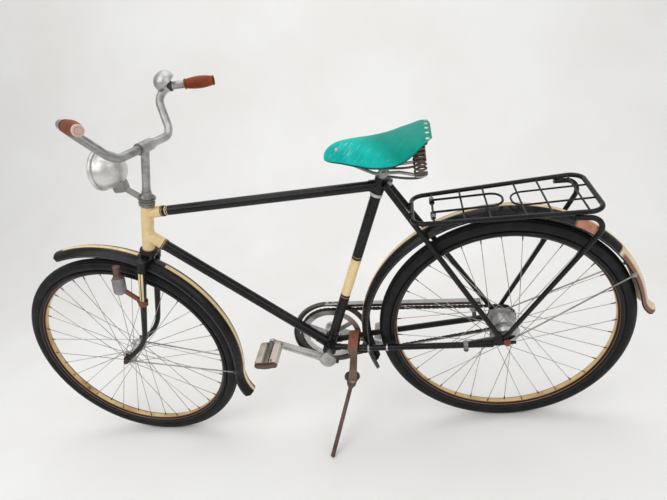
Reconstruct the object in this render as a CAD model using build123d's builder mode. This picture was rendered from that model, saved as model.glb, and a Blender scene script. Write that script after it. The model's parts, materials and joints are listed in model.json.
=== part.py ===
from build123d import *
import os
from math import acos, atan2, cos, degrees, pi, radians, sin, sqrt

# Old roadster bicycle. The pieces are drawn upright, heading -X, with the rider's left at -Y,
# x = 0 at the rear axle and z = 0 on the ground. At the end they take the place they have when
# the bicycle is parked: steered a little, and leaning to its left on the side stand.

# Driving sizes in millimetres and degrees
WHEELBASE = 1178.0
WHEEL_R = 357.0
TYRE_W = 38.0
TYRE_DEPTH = 33.0
RIM_HALF_W = 17.0
RIM_DEPTH = 19.0
SPOKE_COUNT = 36
SPOKE_R = 1.0
SPOKE_CROSS_ANGLE = 60.0
SPOKE_SPLAY = 0.9
NIPPLE_Y = 4.0

HEAD_ANGLE = 70.3
FORK_RAKE = 63.0
FORK_LENGTH = 426.0
HEAD_ABOVE = 22.9
HEAD_R = 17.0
STEER_AT_REST = -4.2
BAR_TWIST = -9.5
STEM_RISE = 136.0

BRACKET_BACK = 516.0
BRACKET_HEIGHT = 336.0
BRACKET_R = 20.0
BRACKET_HALF_W = 34.0
SEAT_ANGLE = 66.6
SEAT_TUBE_LENGTH = 557.0
DOWN_TUBE_DROP = 46.0
TOP_TUBE_R = 13.5
DOWN_TUBE_R = 15.0
SEAT_TUBE_R = 14.3
LUG_WALL = 1.8
HEAD_SLEEVE = 52.0
SEAT_SLEEVE = 26.0
BRACKET_SLEEVE = 44.0

STAY_R = 7.5
CHAIN_STAY_R = 9.0
DROPOUT_Y = 58.0
DROPOUT_T = 5.0
AXLE_R = 5.0
RUNNING_FIT = 0.05
SEATING_GAP = 0.3

CRANK_LENGTH = 172.0
CRANK_ANGLE = 26.5
CRANK_Y = 62.0
CHAIN_LINE = 45.0
CHAIN_PITCH = 12.7
RING_TEETH = 48
SPROCKET_TEETH = 20

LEAN = 10.06
FOOT_SIDE = 180.0
FOOT_BACK = 543.0
FOOT_R = 7.0

BAR_R = 11.0
GRIP_R = 16.0

# Places worked out from them
LEFT, RIGHT = -1, 1
SIDES = (LEFT, RIGHT)
ALONG_Y = (0, 1, 0)
RING_R = WHEEL_R - TYRE_W / 2
TYRE_SEAT_R = WHEEL_R - TYRE_DEPTH
REAR_AXLE = Vector(0, 0, WHEEL_R)
FRONT_AXLE = Vector(-WHEELBASE, 0, WHEEL_R)
STEER_UP = Vector(cos(radians(HEAD_ANGLE)), 0, sin(radians(HEAD_ANGLE)))
STEER_FORE = Vector(-STEER_UP.Z, 0, STEER_UP.X)
STEER_FOOT = FRONT_AXLE - STEER_FORE * FORK_RAKE
BRACKET = Vector(-BRACKET_BACK, 0, BRACKET_HEIGHT)
SEAT_UP = Vector(cos(radians(SEAT_ANGLE)), 0, sin(radians(SEAT_ANGLE)))
SEAT_TOP = BRACKET + SEAT_UP * SEAT_TUBE_LENGTH


def on_steer(height, fore=0.0, side=0.0):
    """Point at a height along the steering axis, a distance ahead of it and to the right."""
    return STEER_FOOT + STEER_UP * height + STEER_FORE * fore + Vector(0, side, 0)


def bar(points, radius, bend=0.0, sides=0):
    """Adds a bar along the points to the open part, round or with flat sides."""
    with BuildLine() as route:
        if len(points) == 2:
            Line(*points)
        else:
            FilletPolyline(*points, radius=bend)
    with BuildSketch(Plane(origin=route.line @ 0, z_dir=route.line % 0)) as end:
        if sides:
            RegularPolygon(radius, sides)
        else:
            Circle(radius)
    sweep(end.sketch, path=route.line)


def drum(start, along, radius, length, mode=Mode.ADD):
    """Adds a round drum from a point along a direction to the open part."""
    with BuildSketch(Plane(origin=start, z_dir=along)) as end:
        Circle(radius)
    extrude(end.sketch, amount=length, mode=mode)


def turned(start, along, outline, mode=Mode.ADD):
    """Adds a turned form to the open part. The outline is (distance along, radius) stations."""
    across = Plane(origin=start, z_dir=along).x_dir
    with BuildSketch(Plane(origin=start, x_dir=along, z_dir=across)) as half:
        with BuildLine():
            Polyline(*outline, close=True)
        make_face()
    revolve(half.sketch, axis=Axis(start, along), mode=mode)


def ring_eye(centre, side, inner_y, thickness, radius, bore):
    """Adds a flat eye round an axle on one side of the bicycle to the open part."""
    start = Vector(centre.X, side * inner_y, centre.Z)
    with BuildSketch(Plane(origin=start, z_dir=(0, side, 0))) as eye:
        Circle(radius)
        Circle(bore, mode=Mode.SUBTRACT)
    extrude(eye.sketch, amount=thickness)


def hexagon_nut(centre, side, inner_y, thickness, radius):
    """Adds a nut on a cross axle on one side of the bicycle to the open part."""
    start = Vector(centre.X, side * inner_y, centre.Z)
    with BuildSketch(Plane(origin=start, z_dir=(0, side, 0))) as flats:
        RegularPolygon(radius, 6)
    extrude(flats.sketch, amount=thickness)


# Wheels: each is a tyre, a rim, a set of spokes and a hub
def tyre(centre):
    """Adds a tyre round an axle centre to the open part, flat where it sits on the rim."""
    seat_angle = degrees(acos((TYRE_SEAT_R - RING_R) / (TYRE_W / 2)))
    quarter = [radians(angle) for angle in (LEAN, 52.0, 95.0, seat_angle)]
    angles = [-angle for angle in reversed(quarter)] + quarter
    outline = [(RING_R + TYRE_W / 2 * cos(angle), TYRE_W / 2 * sin(angle)) for angle in angles]
    with BuildSketch(Plane(origin=centre, x_dir=(1, 0, 0), z_dir=(0, 0, 1))) as section:
        with BuildLine():
            Polyline(*outline, close=True)
        make_face()
    revolve(section.sketch, axis=Axis(centre, ALONG_Y))


def rim(centre):
    """Adds a rim with a trough along its middle and a bead at each edge to the open part."""
    bed = TYRE_SEAT_R
    inner = bed - RIM_DEPTH
    half = [
        (inner, 0.0),
        (inner, 8.0),
        (inner + 6.0, 11.5),
        (inner + 7.5, RIM_HALF_W - 1.5),
        (inner + 11.0, RIM_HALF_W),
        (bed - 3.0, RIM_HALF_W),
        (bed, RIM_HALF_W - 3.0),
    ]
    outline = half + [(r, -y) for r, y in reversed(half[1:])]
    with BuildSketch(Plane(origin=centre, x_dir=(1, 0, 0), z_dir=(0, 0, 1))) as section:
        with BuildLine():
            Polyline(*outline, close=True)
        make_face()
    revolve(section.sketch, axis=Axis(centre, ALONG_Y))


def spokes(centre, flange_y, flange_t, hole_r):
    """Adds crossed spokes to the open part, each lying on one face of its hub flange."""
    per_flange = SPOKE_COUNT // 2
    step = 360 / per_flange
    end_r = TYRE_SEAT_R - RIM_DEPTH - SEATING_GAP
    for sense in (-1, 1):
        planes = []
        lie = sense * (flange_t / 2 + SPOKE_R + SEATING_GAP) + max(sense, 0) * SPOKE_SPLAY
        for side in SIDES:
            for index in range(0 if sense < 0 else 1, per_flange, 2):
                hub_angle = radians(step * index + (step / 2 if side == RIGHT else 0))
                rim_angle = hub_angle + sense * radians(SPOKE_CROSS_ANGLE)
                hole = Vector(hole_r * cos(hub_angle), side * (flange_y + lie), hole_r * sin(hub_angle))
                nipple = Vector(end_r * cos(rim_angle), side * NIPPLE_Y, end_r * sin(rim_angle))
                planes.append(Plane(origin=centre + hole, z_dir=nipple - hole))
        with BuildSketch(*planes) as ends:
            RegularPolygon(SPOKE_R, 6)
        extrude(ends.sketch, amount=(nipple - hole).length)


FRONT_HUB_HALF = 34.0
FRONT_FLANGE_Y = 29.0
FRONT_FLANGE_R = 24.0
FLANGE_T = 2.6
FORK_END_Y = 43.0
FORK_END_T = 4.0
STAY_EYE_T = 2.0
NUT_T = 7.0
AXLE_TIP = 6.0

with BuildPart() as front_tyre:
    tyre(FRONT_AXLE)

with BuildPart() as front_rim:
    rim(FRONT_AXLE)

with BuildPart() as front_spokes:
    spokes(FRONT_AXLE, FRONT_FLANGE_Y, FLANGE_T, FRONT_FLANGE_R - 3.5)

with BuildPart() as front_hub:
    hub_half = [
        (0, 11.0),
        (FRONT_FLANGE_Y - 8, 11.0),
        (FRONT_FLANGE_Y - FLANGE_T / 2, 16.0),
        (FRONT_FLANGE_Y - FLANGE_T / 2, FRONT_FLANGE_R),
        (FRONT_FLANGE_Y + FLANGE_T / 2, FRONT_FLANGE_R),
        (FRONT_FLANGE_Y + FLANGE_T / 2, 14.0),
        (FRONT_HUB_HALF, 12.0),
        (FRONT_HUB_HALF, 0),
    ]
    turned(FRONT_AXLE, ALONG_Y, hub_half + [(0, 0)])
    mirror(about=Plane.XZ)
    bore_start = FRONT_AXLE - Vector(0, FRONT_HUB_HALF, 0)
    drum(bore_start, ALONG_Y, AXLE_R + RUNNING_FIT, 2 * FRONT_HUB_HALF, mode=Mode.SUBTRACT)

with BuildPart() as front_axle:
    nut_y = FORK_END_Y + FORK_END_T + STAY_EYE_T
    tip_y = nut_y + NUT_T + AXLE_TIP
    drum(FRONT_AXLE - Vector(0, tip_y, 0), ALONG_Y, AXLE_R, 2 * tip_y)
    for side in SIDES:
        cone_y = FRONT_HUB_HALF + SEATING_GAP
        hexagon_nut(FRONT_AXLE, side, cone_y, FORK_END_Y - cone_y, 8.5)
        hexagon_nut(FRONT_AXLE, side, nut_y, NUT_T, 9.0)

REAR_HUB_HALF = 47.0
REAR_FLANGE_Y = 30.0
REAR_FLANGE_R = 42.0
REAR_SHELL_R = 33.0
SPROCKET_PITCH_R = CHAIN_PITCH / (2 * sin(pi / SPROCKET_TEETH))
RING_PITCH_R = CHAIN_PITCH / (2 * sin(pi / RING_TEETH))
CHAIN_HALF_H = 4.2
TOOTH_GAP = 0.5

with BuildPart() as rear_tyre:
    tyre(REAR_AXLE)

with BuildPart() as rear_rim:
    rim(REAR_AXLE)

with BuildPart() as rear_spokes:
    spokes(REAR_AXLE, REAR_FLANGE_Y, FLANGE_T, REAR_FLANGE_R - 4.0)

with BuildPart() as rear_hub:
    shell = [
        (-REAR_HUB_HALF, 0),
        (-REAR_HUB_HALF, 24.0),
        (-REAR_FLANGE_Y - 8, REAR_SHELL_R - 2),
        (-REAR_FLANGE_Y - FLANGE_T / 2, REAR_SHELL_R),
        (-REAR_FLANGE_Y - FLANGE_T / 2, REAR_FLANGE_R),
        (-REAR_FLANGE_Y + FLANGE_T / 2, REAR_FLANGE_R),
        (-REAR_FLANGE_Y + FLANGE_T / 2, REAR_SHELL_R - 1),
        (REAR_FLANGE_Y - FLANGE_T / 2, REAR_SHELL_R - 1),
        (REAR_FLANGE_Y - FLANGE_T / 2, REAR_FLANGE_R),
        (REAR_FLANGE_Y + FLANGE_T / 2, REAR_FLANGE_R),
        (REAR_FLANGE_Y + FLANGE_T / 2, 26.0),
        (CHAIN_LINE - 5, 20.0),
        (CHAIN_LINE - 1.3, 20.0),
        (REAR_HUB_HALF, 17.0),
        (REAR_HUB_HALF, 0),
    ]
    turned(REAR_AXLE, ALONG_Y, shell)
    tip_r = SPROCKET_PITCH_R - CHAIN_HALF_H - TOOTH_GAP
    drum(REAR_AXLE + Vector(0, CHAIN_LINE - 1.3, 0), ALONG_Y, tip_r, 2.6)
    bore_start = REAR_AXLE - Vector(0, REAR_HUB_HALF, 0)
    drum(bore_start, ALONG_Y, AXLE_R + RUNNING_FIT, 2 * REAR_HUB_HALF, mode=Mode.SUBTRACT)

# Outside each rear fork end sit the carrier's stay, the mudguard's stay and the nut
RACK_EYE_T = 3.0
BRAKE_ARM_Y = REAR_HUB_HALF + 0.6
BRAKE_ARM_T = 3.5
with BuildPart() as rear_axle:
    rack_eye_y = DROPOUT_Y + DROPOUT_T
    guard_eye_y = rack_eye_y + RACK_EYE_T
    nut_y = guard_eye_y + STAY_EYE_T
    tip_y = nut_y + NUT_T + AXLE_TIP
    drum(REAR_AXLE - Vector(0, tip_y, 0), ALONG_Y, AXLE_R, 2 * tip_y)
    for side, cone_y in ((LEFT, BRAKE_ARM_Y + BRAKE_ARM_T), (RIGHT, REAR_HUB_HALF + SEATING_GAP)):
        hexagon_nut(REAR_AXLE, side, cone_y, DROPOUT_Y - cone_y, 10.0)
        hexagon_nut(REAR_AXLE, side, nut_y, NUT_T, 10.0)

# Head tube with the two lug sleeves that hold the top and the down tube
HEAD_LOW = on_steer(FORK_LENGTH)
TOP_TUBE_Z = SEAT_TOP.Z
TOP_JOINT = HEAD_LOW + STEER_UP * ((TOP_TUBE_Z - HEAD_LOW.Z) / STEER_UP.Z)
HEAD_HIGH = TOP_JOINT + STEER_UP * HEAD_ABOVE
HEAD_LENGTH = (HEAD_HIGH - HEAD_LOW).length
DOWN_JOINT = HEAD_LOW + STEER_UP * DOWN_TUBE_DROP
DOWN_DIR = (BRACKET - DOWN_JOINT).normalized()
BACKWARD = Vector(1, 0, 0)

with BuildPart() as head_tube:
    drum(HEAD_LOW, STEER_UP, HEAD_R, HEAD_LENGTH)
    drum(TOP_JOINT, BACKWARD, TOP_TUBE_R + LUG_WALL, HEAD_SLEEVE)
    drum(DOWN_JOINT, DOWN_DIR, DOWN_TUBE_R + LUG_WALL, HEAD_SLEEVE + 4)

with BuildPart() as seat_lug:
    lug_low = SEAT_TOP - SEAT_UP * 30
    lug_length = 52.0
    lug_r = SEAT_TUBE_R + LUG_WALL
    drum(lug_low, SEAT_UP, lug_r, lug_length)
    drum(SEAT_TOP, -BACKWARD, TOP_TUBE_R + LUG_WALL, SEAT_SLEEVE)
    SEAT_BACK = Vector(SEAT_UP.Z, 0, -SEAT_UP.X)
    with BuildSketch(Plane(origin=SEAT_TOP + SEAT_UP * 14, x_dir=SEAT_BACK, z_dir=SEAT_UP)):
        with Locations((lug_r, 0)):
            Rectangle(26, 16)
    extrude(amount=8, both=True)

with BuildPart() as bottom_bracket:
    drum(BRACKET - Vector(0, BRACKET_HALF_W, 0), ALONG_Y, BRACKET_R, 2 * BRACKET_HALF_W)
    drum(BRACKET, SEAT_UP, SEAT_TUBE_R + LUG_WALL, BRACKET_SLEEVE)
    drum(BRACKET, -DOWN_DIR, DOWN_TUBE_R + LUG_WALL, BRACKET_SLEEVE)
    STAY_ROOT_X = BRACKET.X + 34.0
    for side in SIDES:
        root = Vector(BRACKET.X, side * 19.0, BRACKET.Z)
        drum(root, BACKWARD, CHAIN_STAY_R + LUG_WALL, 34.0)
    SPINDLE_R = 8.0
    bore_start = BRACKET - Vector(0, BRACKET_HALF_W, 0)
    drum(bore_start, ALONG_Y, SPINDLE_R + RUNNING_FIT, 2 * BRACKET_HALF_W, mode=Mode.SUBTRACT)

with BuildPart() as top_tube:
    start = TOP_JOINT + BACKWARD * HEAD_SLEEVE
    drum(start, BACKWARD, TOP_TUBE_R, SEAT_TOP.X - SEAT_SLEEVE - start.X)

with BuildPart() as down_tube:
    start = DOWN_JOINT + DOWN_DIR * (HEAD_SLEEVE + 4)
    drum(start, DOWN_DIR, DOWN_TUBE_R, (BRACKET - start).length - BRACKET_SLEEVE)

with BuildPart() as seat_tube:
    start = BRACKET + SEAT_UP * BRACKET_SLEEVE
    drum(start, SEAT_UP, SEAT_TUBE_R, (lug_low - start).length)

# Rear fork ends: flat plates with a slot open to the rear for the axle
DROPOUT_OUTLINE = [(-46, -16), (-34, 4), (-30, 30), (-16, 34), (-10, 15), (24, 14), (26, -13), (-20, -16)]
with BuildPart() as rear_fork_ends:
    for side in SIDES:
        plate = Plane(origin=(0, side * DROPOUT_Y, WHEEL_R), x_dir=(1, 0, 0), z_dir=(0, side, 0))
        with BuildSketch(plate):
            with BuildLine():
                Polyline(*[(x, -side * z) for x, z in DROPOUT_OUTLINE], close=True)
            make_face()
            Rectangle(2 * 40, 2 * AXLE_R, align=(Align.MIN, Align.CENTER), mode=Mode.SUBTRACT)
            Circle(AXLE_R, mode=Mode.SUBTRACT)
        extrude(amount=DROPOUT_T)

STAY_KNEE_Y = 34.0
with BuildPart() as chain_stays:
    stay_y = DROPOUT_Y + DROPOUT_T / 2
    for side in SIDES:
        root = (STAY_ROOT_X, side * 19.0, BRACKET.Z)
        knee = (STAY_ROOT_X + 95, side * STAY_KNEE_Y, BRACKET.Z + 1)
        bar([root, knee, (-36, side * stay_y, WHEEL_R - 11)], CHAIN_STAY_R, bend=260)
    add(rear_fork_ends.part, mode=Mode.SUBTRACT)
    add(bottom_bracket.part, mode=Mode.SUBTRACT)

STAY_BITE = 3.0


def seat_stay_ends(side):
    """Foot and tip of one seat stay."""
    foot = Vector(-24, side * stay_y, WHEEL_R + 24)
    tip = SEAT_TOP + Vector(14, side * (lug_r + STAY_R - STAY_BITE), 6)
    return foot, tip


with BuildPart() as seat_stays:
    for side in SIDES:
        bar(seat_stay_ends(side), STAY_R)
    add(rear_fork_ends.part, mode=Mode.SUBTRACT)
    add(seat_lug.part, mode=Mode.SUBTRACT)

# Head bearings: the cups stay in the frame, the cones and nuts turn with the fork
with BuildPart() as head_cups:
    turned(HEAD_LOW, -STEER_UP, [(0, 0), (0, 19.0), (2, 24.0), (9, 25.5), (12, 23.0), (12, 0)])
    turned(HEAD_HIGH, STEER_UP, [(0, 0), (0, 18.0), (3, 21.0), (10, 22.0), (11, 20.0), (11, 0)])

BLADE_Y = 44.0
BLADE_TOP_R = 11.5
BLADE_TIP_R = 8.0
CROWN_TOP = FORK_LENGTH - 12.0 - SEATING_GAP
CROWN_LOW = FORK_LENGTH - 32.0
with BuildPart() as fork_crown:
    drop = CROWN_LOW - CROWN_TOP
    cone = [(0, 0), (0, 22.0), (-6, 22.0), (-10, 17.0), (drop, 17.0), (drop, 0)]
    turned(on_steer(CROWN_TOP), STEER_UP, cone)
    with BuildSketch(Plane(origin=on_steer(CROWN_LOW), x_dir=ALONG_Y, z_dir=STEER_UP)):
        SlotCenterToCenter(2 * BLADE_Y, 2 * BLADE_TOP_R + 4)
    extrude(amount=14)
    for side in SIDES:
        drum(on_steer(CROWN_LOW - 22, side=side * BLADE_Y), STEER_UP, BLADE_TOP_R + 2, 30)

with BuildPart() as fork_blades:
    straight_end = 150.0
    for side in SIDES:
        top = on_steer(CROWN_LOW - 22, side=side * BLADE_Y)
        low = on_steer(straight_end, side=side * BLADE_Y)
        with BuildSketch(Plane(origin=top, z_dir=-STEER_UP)):
            Circle(BLADE_TOP_R)
        with BuildSketch(Plane(origin=low, z_dir=-STEER_UP)):
            Circle(BLADE_TIP_R)
        loft()
        knee = on_steer(92, side=side * BLADE_Y)
        tip = on_steer(14, fore=FORK_RAKE - 9, side=side * (FORK_END_Y + FORK_END_T / 2))
        bar([low, knee, tip], BLADE_TIP_R, bend=170)
        eye_at = FRONT_AXLE + Vector(0, side * FORK_END_Y, 0)
        with BuildSketch(Plane(origin=eye_at, x_dir=(1, 0, 0), z_dir=(0, side, 0))):
            Circle(13)
            with Locations((6, -side * 12)):
                Rectangle(15, 26, rotation=side * 25)
        extrude(amount=FORK_END_T)
        slot_at = FRONT_AXLE + Vector(0, side * 30, 0)
        with BuildSketch(Plane(origin=slot_at, x_dir=(1, 0, 0), z_dir=(0, side, 0))):
            Circle(AXLE_R)
            with Locations((0, side * 10)):
                Rectangle(2 * AXLE_R, 20)
        extrude(amount=30, mode=Mode.SUBTRACT)

with BuildPart() as head_nuts:
    cone_low = FORK_LENGTH + HEAD_LENGTH + 11 + SEATING_GAP
    nut_top = cone_low + 24
    turned(
        on_steer(cone_low), STEER_UP,
        [(0, 0), (0, 21.0), (6, 21.0), (7, 18.0), (10, 18.0), (11, 20.0), (18, 20.0), (24, 14.0), (24, 0)],
    )

STEM_R = 11.0
BAR_CLAMP = nut_top + STEM_RISE
with BuildPart() as stem:
    drum(on_steer(nut_top), STEER_UP, STEM_R, BAR_CLAMP - nut_top)
    turned(on_steer(nut_top), STEER_UP, [(0, 0), (0, 14.0), (10, 12.5), (10, 0)])
    drum(on_steer(BAR_CLAMP, side=-25), ALONG_Y, BAR_R + 4.5, 50)
    drum(on_steer(BAR_CLAMP, side=-25), ALONG_Y, BAR_R + RUNNING_FIT, 50, mode=Mode.SUBTRACT)

# Handlebar: corners ahead of the clamp, to the right and above it, mirrored to the left
CLAMP = on_steer(BAR_CLAMP)
BAR_CORNERS = [(0.0, 112.0, 0.0), (-63.0, 178.0, 115.5), (78.5, 255.0, 107.5)]
BAR_BENDS = [50.0, 46.0]
GRIP_LENGTH = 79.0
with BuildPart() as handlebar:
    right_side = [CLAMP + Vector(*corner) for corner in BAR_CORNERS]
    left_side = [Vector(p.X, -p.Y, p.Z) for p in reversed(right_side)]
    bar(left_side + right_side, BAR_R, bend=BAR_BENDS[::-1] + BAR_BENDS)

with BuildPart() as grips:
    for side in SIDES:
        tip = Vector(right_side[2].X, side * right_side[2].Y, right_side[2].Z)
        bend_point = Vector(right_side[1].X, side * right_side[1].Y, right_side[1].Z)
        inward = (bend_point - tip).normalized()
        outline = [(-5, 0), (-5, 12.0), (-3, 15.5), (6, GRIP_R + 0.5), (12, GRIP_R - 0.5), (45, GRIP_R - 1.5)]
        outline += [(GRIP_LENGTH - 8, GRIP_R), (GRIP_LENGTH, 13.5), (GRIP_LENGTH, 0)]
        turned(tip, inward, outline)
        drum(tip, inward, BAR_R, GRIP_LENGTH, mode=Mode.SUBTRACT)

BELL_FROM_TIP = 116.0
BELL_R = 31.0
BELL_LIFT = 18.0
with BuildPart() as bell:
    inward = (right_side[1] - right_side[2]).normalized()
    seat = right_side[2] + inward * BELL_FROM_TIP
    dome_up = Vector(-0.8, 0.0, 0.58).normalized()
    turned(seat - inward * 7, inward, [(0, 0), (0, 14.0), (14, 14.0), (14, 0)])
    drum(seat, dome_up, 5.0, BELL_LIFT + 2)
    dome = [(0, 0), (0, BELL_R - 7), (-2, BELL_R - 7), (-2, BELL_R - 1), (2, BELL_R)]
    dome += [(BELL_R * sin(radians(a)) * 0.62 + 2, BELL_R * cos(radians(a))) for a in (20, 40, 60, 78)]
    turned(seat + dome_up * (BELL_LIFT + 2), dome_up, dome + [(BELL_R * 0.62 + 2, 0)])
    add(handlebar.part, mode=Mode.SUBTRACT)

# Headlamp on a bracket ahead of the head tube
LAMP_RISE = 45.0
LAMP_REACH = 108.6
LAMP_CENTRE = on_steer(nut_top + LAMP_RISE, fore=LAMP_REACH)
LAMP_R = 51.0
LAMP_FRONT = 14.0
LAMP_DIR = Vector(-1, 0, 0.08).normalized()
with BuildPart() as headlamp:
    back = [(-52, 0), (-51, 12), (-44, 28), (-30, 41), (-12, 49), (2, LAMP_R), (LAMP_FRONT, LAMP_R)]
    bezel = [(0, LAMP_R + 4), (9, LAMP_R + 4), (9, LAMP_R - 4), (4, LAMP_R - 4), (4, 0)]
    turned(LAMP_CENTRE, LAMP_DIR, back + [(LAMP_FRONT + ahead, radius) for ahead, radius in bezel])

with BuildPart() as headlamp_glass:
    front = LAMP_CENTRE + LAMP_DIR * (LAMP_FRONT + 4)
    turned(front, LAMP_DIR, [(0, 0), (0, LAMP_R - 4), (4, LAMP_R - 4), (9, 26), (11, 0)])

# The lamp's lug stands on a strip that leaves a collar under the top head nut
LUG_W = 26.0
with BuildPart() as lamp_bracket:
    collar = on_steer(nut_top - 13.2)
    turned(collar, STEER_UP, [(0, 18.0), (0, 24.0), (3, 24.0), (3, 18.0)])
    strip_foot = on_steer(nut_top - 13.2, fore=20)
    lug_middle = LAMP_CENTRE + Vector(20, 0, -48)
    strip_dir = (lug_middle - strip_foot).normalized()
    with BuildSketch(Plane(origin=strip_foot, x_dir=ALONG_Y, z_dir=strip_dir)):
        RectangleRounded(LUG_W - 4, 6, 2)
    extrude(amount=(lug_middle - strip_foot).length)
    with BuildSketch(Plane(origin=lug_middle, x_dir=(1, 0, 0), z_dir=(0, 1, 0))):
        RectangleRounded(34, 30, 6)
    extrude(amount=LUG_W / 2, both=True)
    add(headlamp.part, mode=Mode.SUBTRACT)
    add(head_nuts.part, mode=Mode.SUBTRACT)

# Bottle dynamo beside the tyre, on a clamp round the left blade
DYNAMO_CLAMP_HEIGHT = 251.0
DYNAMO_Y = -63.0
DYNAMO_R = 18.5
DYNAMO_BASE = on_steer(DYNAMO_CLAMP_HEIGHT + 38, fore=58, side=DYNAMO_Y)
DYNAMO_UP = Vector(0.18, 0.08, 0.97).normalized()
with BuildPart() as dynamo:
    bottle = [(0, 0), (0, 10), (3, 14), (6, DYNAMO_R - 1), (9, DYNAMO_R), (48, DYNAMO_R), (50, DYNAMO_R - 2)]
    bottle += [(56, 14), (61, 9), (72, 8.5), (72, 0)]
    turned(DYNAMO_BASE, DYNAMO_UP, bottle)
    roller = [(0, 0), (0, 6), (2, 11), (4, 9.5), (15, 9.5), (17, 11), (19, 6), (21, 4), (21, 0)]
    turned(DYNAMO_BASE + DYNAMO_UP * 72, DYNAMO_UP, roller)

with BuildPart() as dynamo_bracket:
    clamp_at = on_steer(DYNAMO_CLAMP_HEIGHT, side=-BLADE_Y)
    drum(clamp_at, STEER_UP, 14.0, 16)
    arm_from = clamp_at + STEER_UP * 8
    bar([arm_from, DYNAMO_BASE + DYNAMO_UP * 14 + Vector(8, 0, 0)], 7.0)
    add(fork_blades.part, mode=Mode.SUBTRACT)
    add(dynamo.part, mode=Mode.SUBTRACT)

# Mudguards: a thin arched strip turned about a centre near the axle, flared at the tail
GUARD_HALF_W = 30.0
GUARD_ARCH = 21.5
GUARD_T = 1.2


def mudguard(centre, crown_r, start_angle, end_angle, flare_r, flare_angle):
    """Adds a mudguard from one angle down to another, measured from the rear, to the open part."""
    end_radial = Vector(cos(radians(end_angle)), 0, sin(radians(end_angle)))
    end_plane = Plane(origin=centre, x_dir=end_radial, z_dir=end_radial.cross(Vector(*ALONG_Y)))
    edge_r = crown_r - GUARD_ARCH
    half = GUARD_HALF_W
    inner = half - GUARD_T
    with BuildSketch(end_plane) as section:
        with BuildLine():
            ThreePointArc((edge_r, -half), (crown_r, 0), (edge_r, half))
            Line((edge_r, half), (edge_r - GUARD_T, inner))
            ThreePointArc((edge_r - GUARD_T, inner), (crown_r - GUARD_T, 0), (edge_r - GUARD_T, -inner))
            Line((edge_r - GUARD_T, -inner), (edge_r, -half))
        make_face()
    revolve(section.sketch, axis=Axis(centre, (0, -1, 0)), revolution_arc=start_angle - end_angle)
    outside = centre + end_radial * (crown_r + flare_r)
    revolve(section.sketch, axis=Axis(outside, (0, -1, 0)), revolution_arc=flare_angle)


FRONT_GUARD_CENTRE = FRONT_AXLE + Vector(-8, 0, 13)
FRONT_GUARD_R = WHEEL_R + 32
with BuildPart() as front_mudguard:
    mudguard(FRONT_GUARD_CENTRE, FRONT_GUARD_R, 105.0, -14.3, 130.0, 42.0)
    add(fork_crown.part, mode=Mode.SUBTRACT)

REAR_GUARD_CENTRE = REAR_AXLE + Vector(-14, 0, 2)
REAR_GUARD_R = WHEEL_R + 39
with BuildPart() as rear_mudguard:
    mudguard(REAR_GUARD_CENTRE, REAR_GUARD_R, 198.0, 11.0, 53.0, 45.0)
    for side in SIDES:
        foot, tip = seat_stay_ends(side)
        drum(foot, tip - foot, STAY_R + SEATING_GAP, (tip - foot).length, mode=Mode.SUBTRACT)
    for neighbour in (chain_stays, bottom_bracket, seat_tube):
        add(neighbour.part, mode=Mode.SUBTRACT)


# Mudguard stays: a wire each side from an eye on the axle to the edge of the mudguard
def guard_stays(axle, eye_y, centre, crown_r, angle, neighbours):
    """Adds both stay wires of a mudguard, ending on its edges, to the open part."""
    reach = radians(angle)
    edge_r = crown_r - GUARD_ARCH + 2
    for side in SIDES:
        ring_eye(axle, side, eye_y, STAY_EYE_T, 8.0, AXLE_R)
        edge = centre + Vector(edge_r * cos(reach), side * (GUARD_HALF_W + 1), edge_r * sin(reach))
        along = (edge - axle).normalized()
        start = axle + Vector(along.X * 7, side * (eye_y + STAY_EYE_T / 2), along.Z * 7)
        bar([start, edge], STAY_WIRE_R)
    for neighbour in neighbours:
        add(neighbour.part, mode=Mode.SUBTRACT)


STAY_WIRE_R = 2.2
with BuildPart() as front_guard_stays:
    eye_y = FORK_END_Y + FORK_END_T
    neighbours = (front_mudguard, fork_blades, front_axle)
    guard_stays(FRONT_AXLE, eye_y, FRONT_GUARD_CENTRE, FRONT_GUARD_R, -13.0, neighbours)

with BuildPart() as rear_guard_stays:
    neighbours = (rear_mudguard, rear_fork_ends, rear_axle)
    guard_stays(REAR_AXLE, guard_eye_y, REAR_GUARD_CENTRE, REAR_GUARD_R, 26.0, neighbours)

# Brake arm of the rear hub, held by a band on the left chain stay
with BuildPart() as brake_arm:
    stay_rise = (WHEEL_R - 11 - BRACKET.Z) / (-36 - STAY_ROOT_X - 95)
    arm_tip = Vector(-112, 0, WHEEL_R - 11 - stay_rise * (112 - 36))
    with BuildSketch(Plane(origin=(0, -BRAKE_ARM_Y, 0), x_dir=(1, 0, 0), z_dir=(0, -1, 0))):
        with Locations((REAR_AXLE.X, REAR_AXLE.Z)):
            Circle(14)
        with Locations((arm_tip.X, arm_tip.Z)):
            Circle(7)
        make_hull()
        with Locations((REAR_AXLE.X, REAR_AXLE.Z)):
            Circle(AXLE_R, mode=Mode.SUBTRACT)
    extrude(amount=BRAKE_ARM_T)
    drum(Vector(arm_tip.X - 6, -stay_y + 5, arm_tip.Z), BACKWARD, CHAIN_STAY_R + 4.5, 12)
    add(chain_stays.part, mode=Mode.SUBTRACT)

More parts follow.
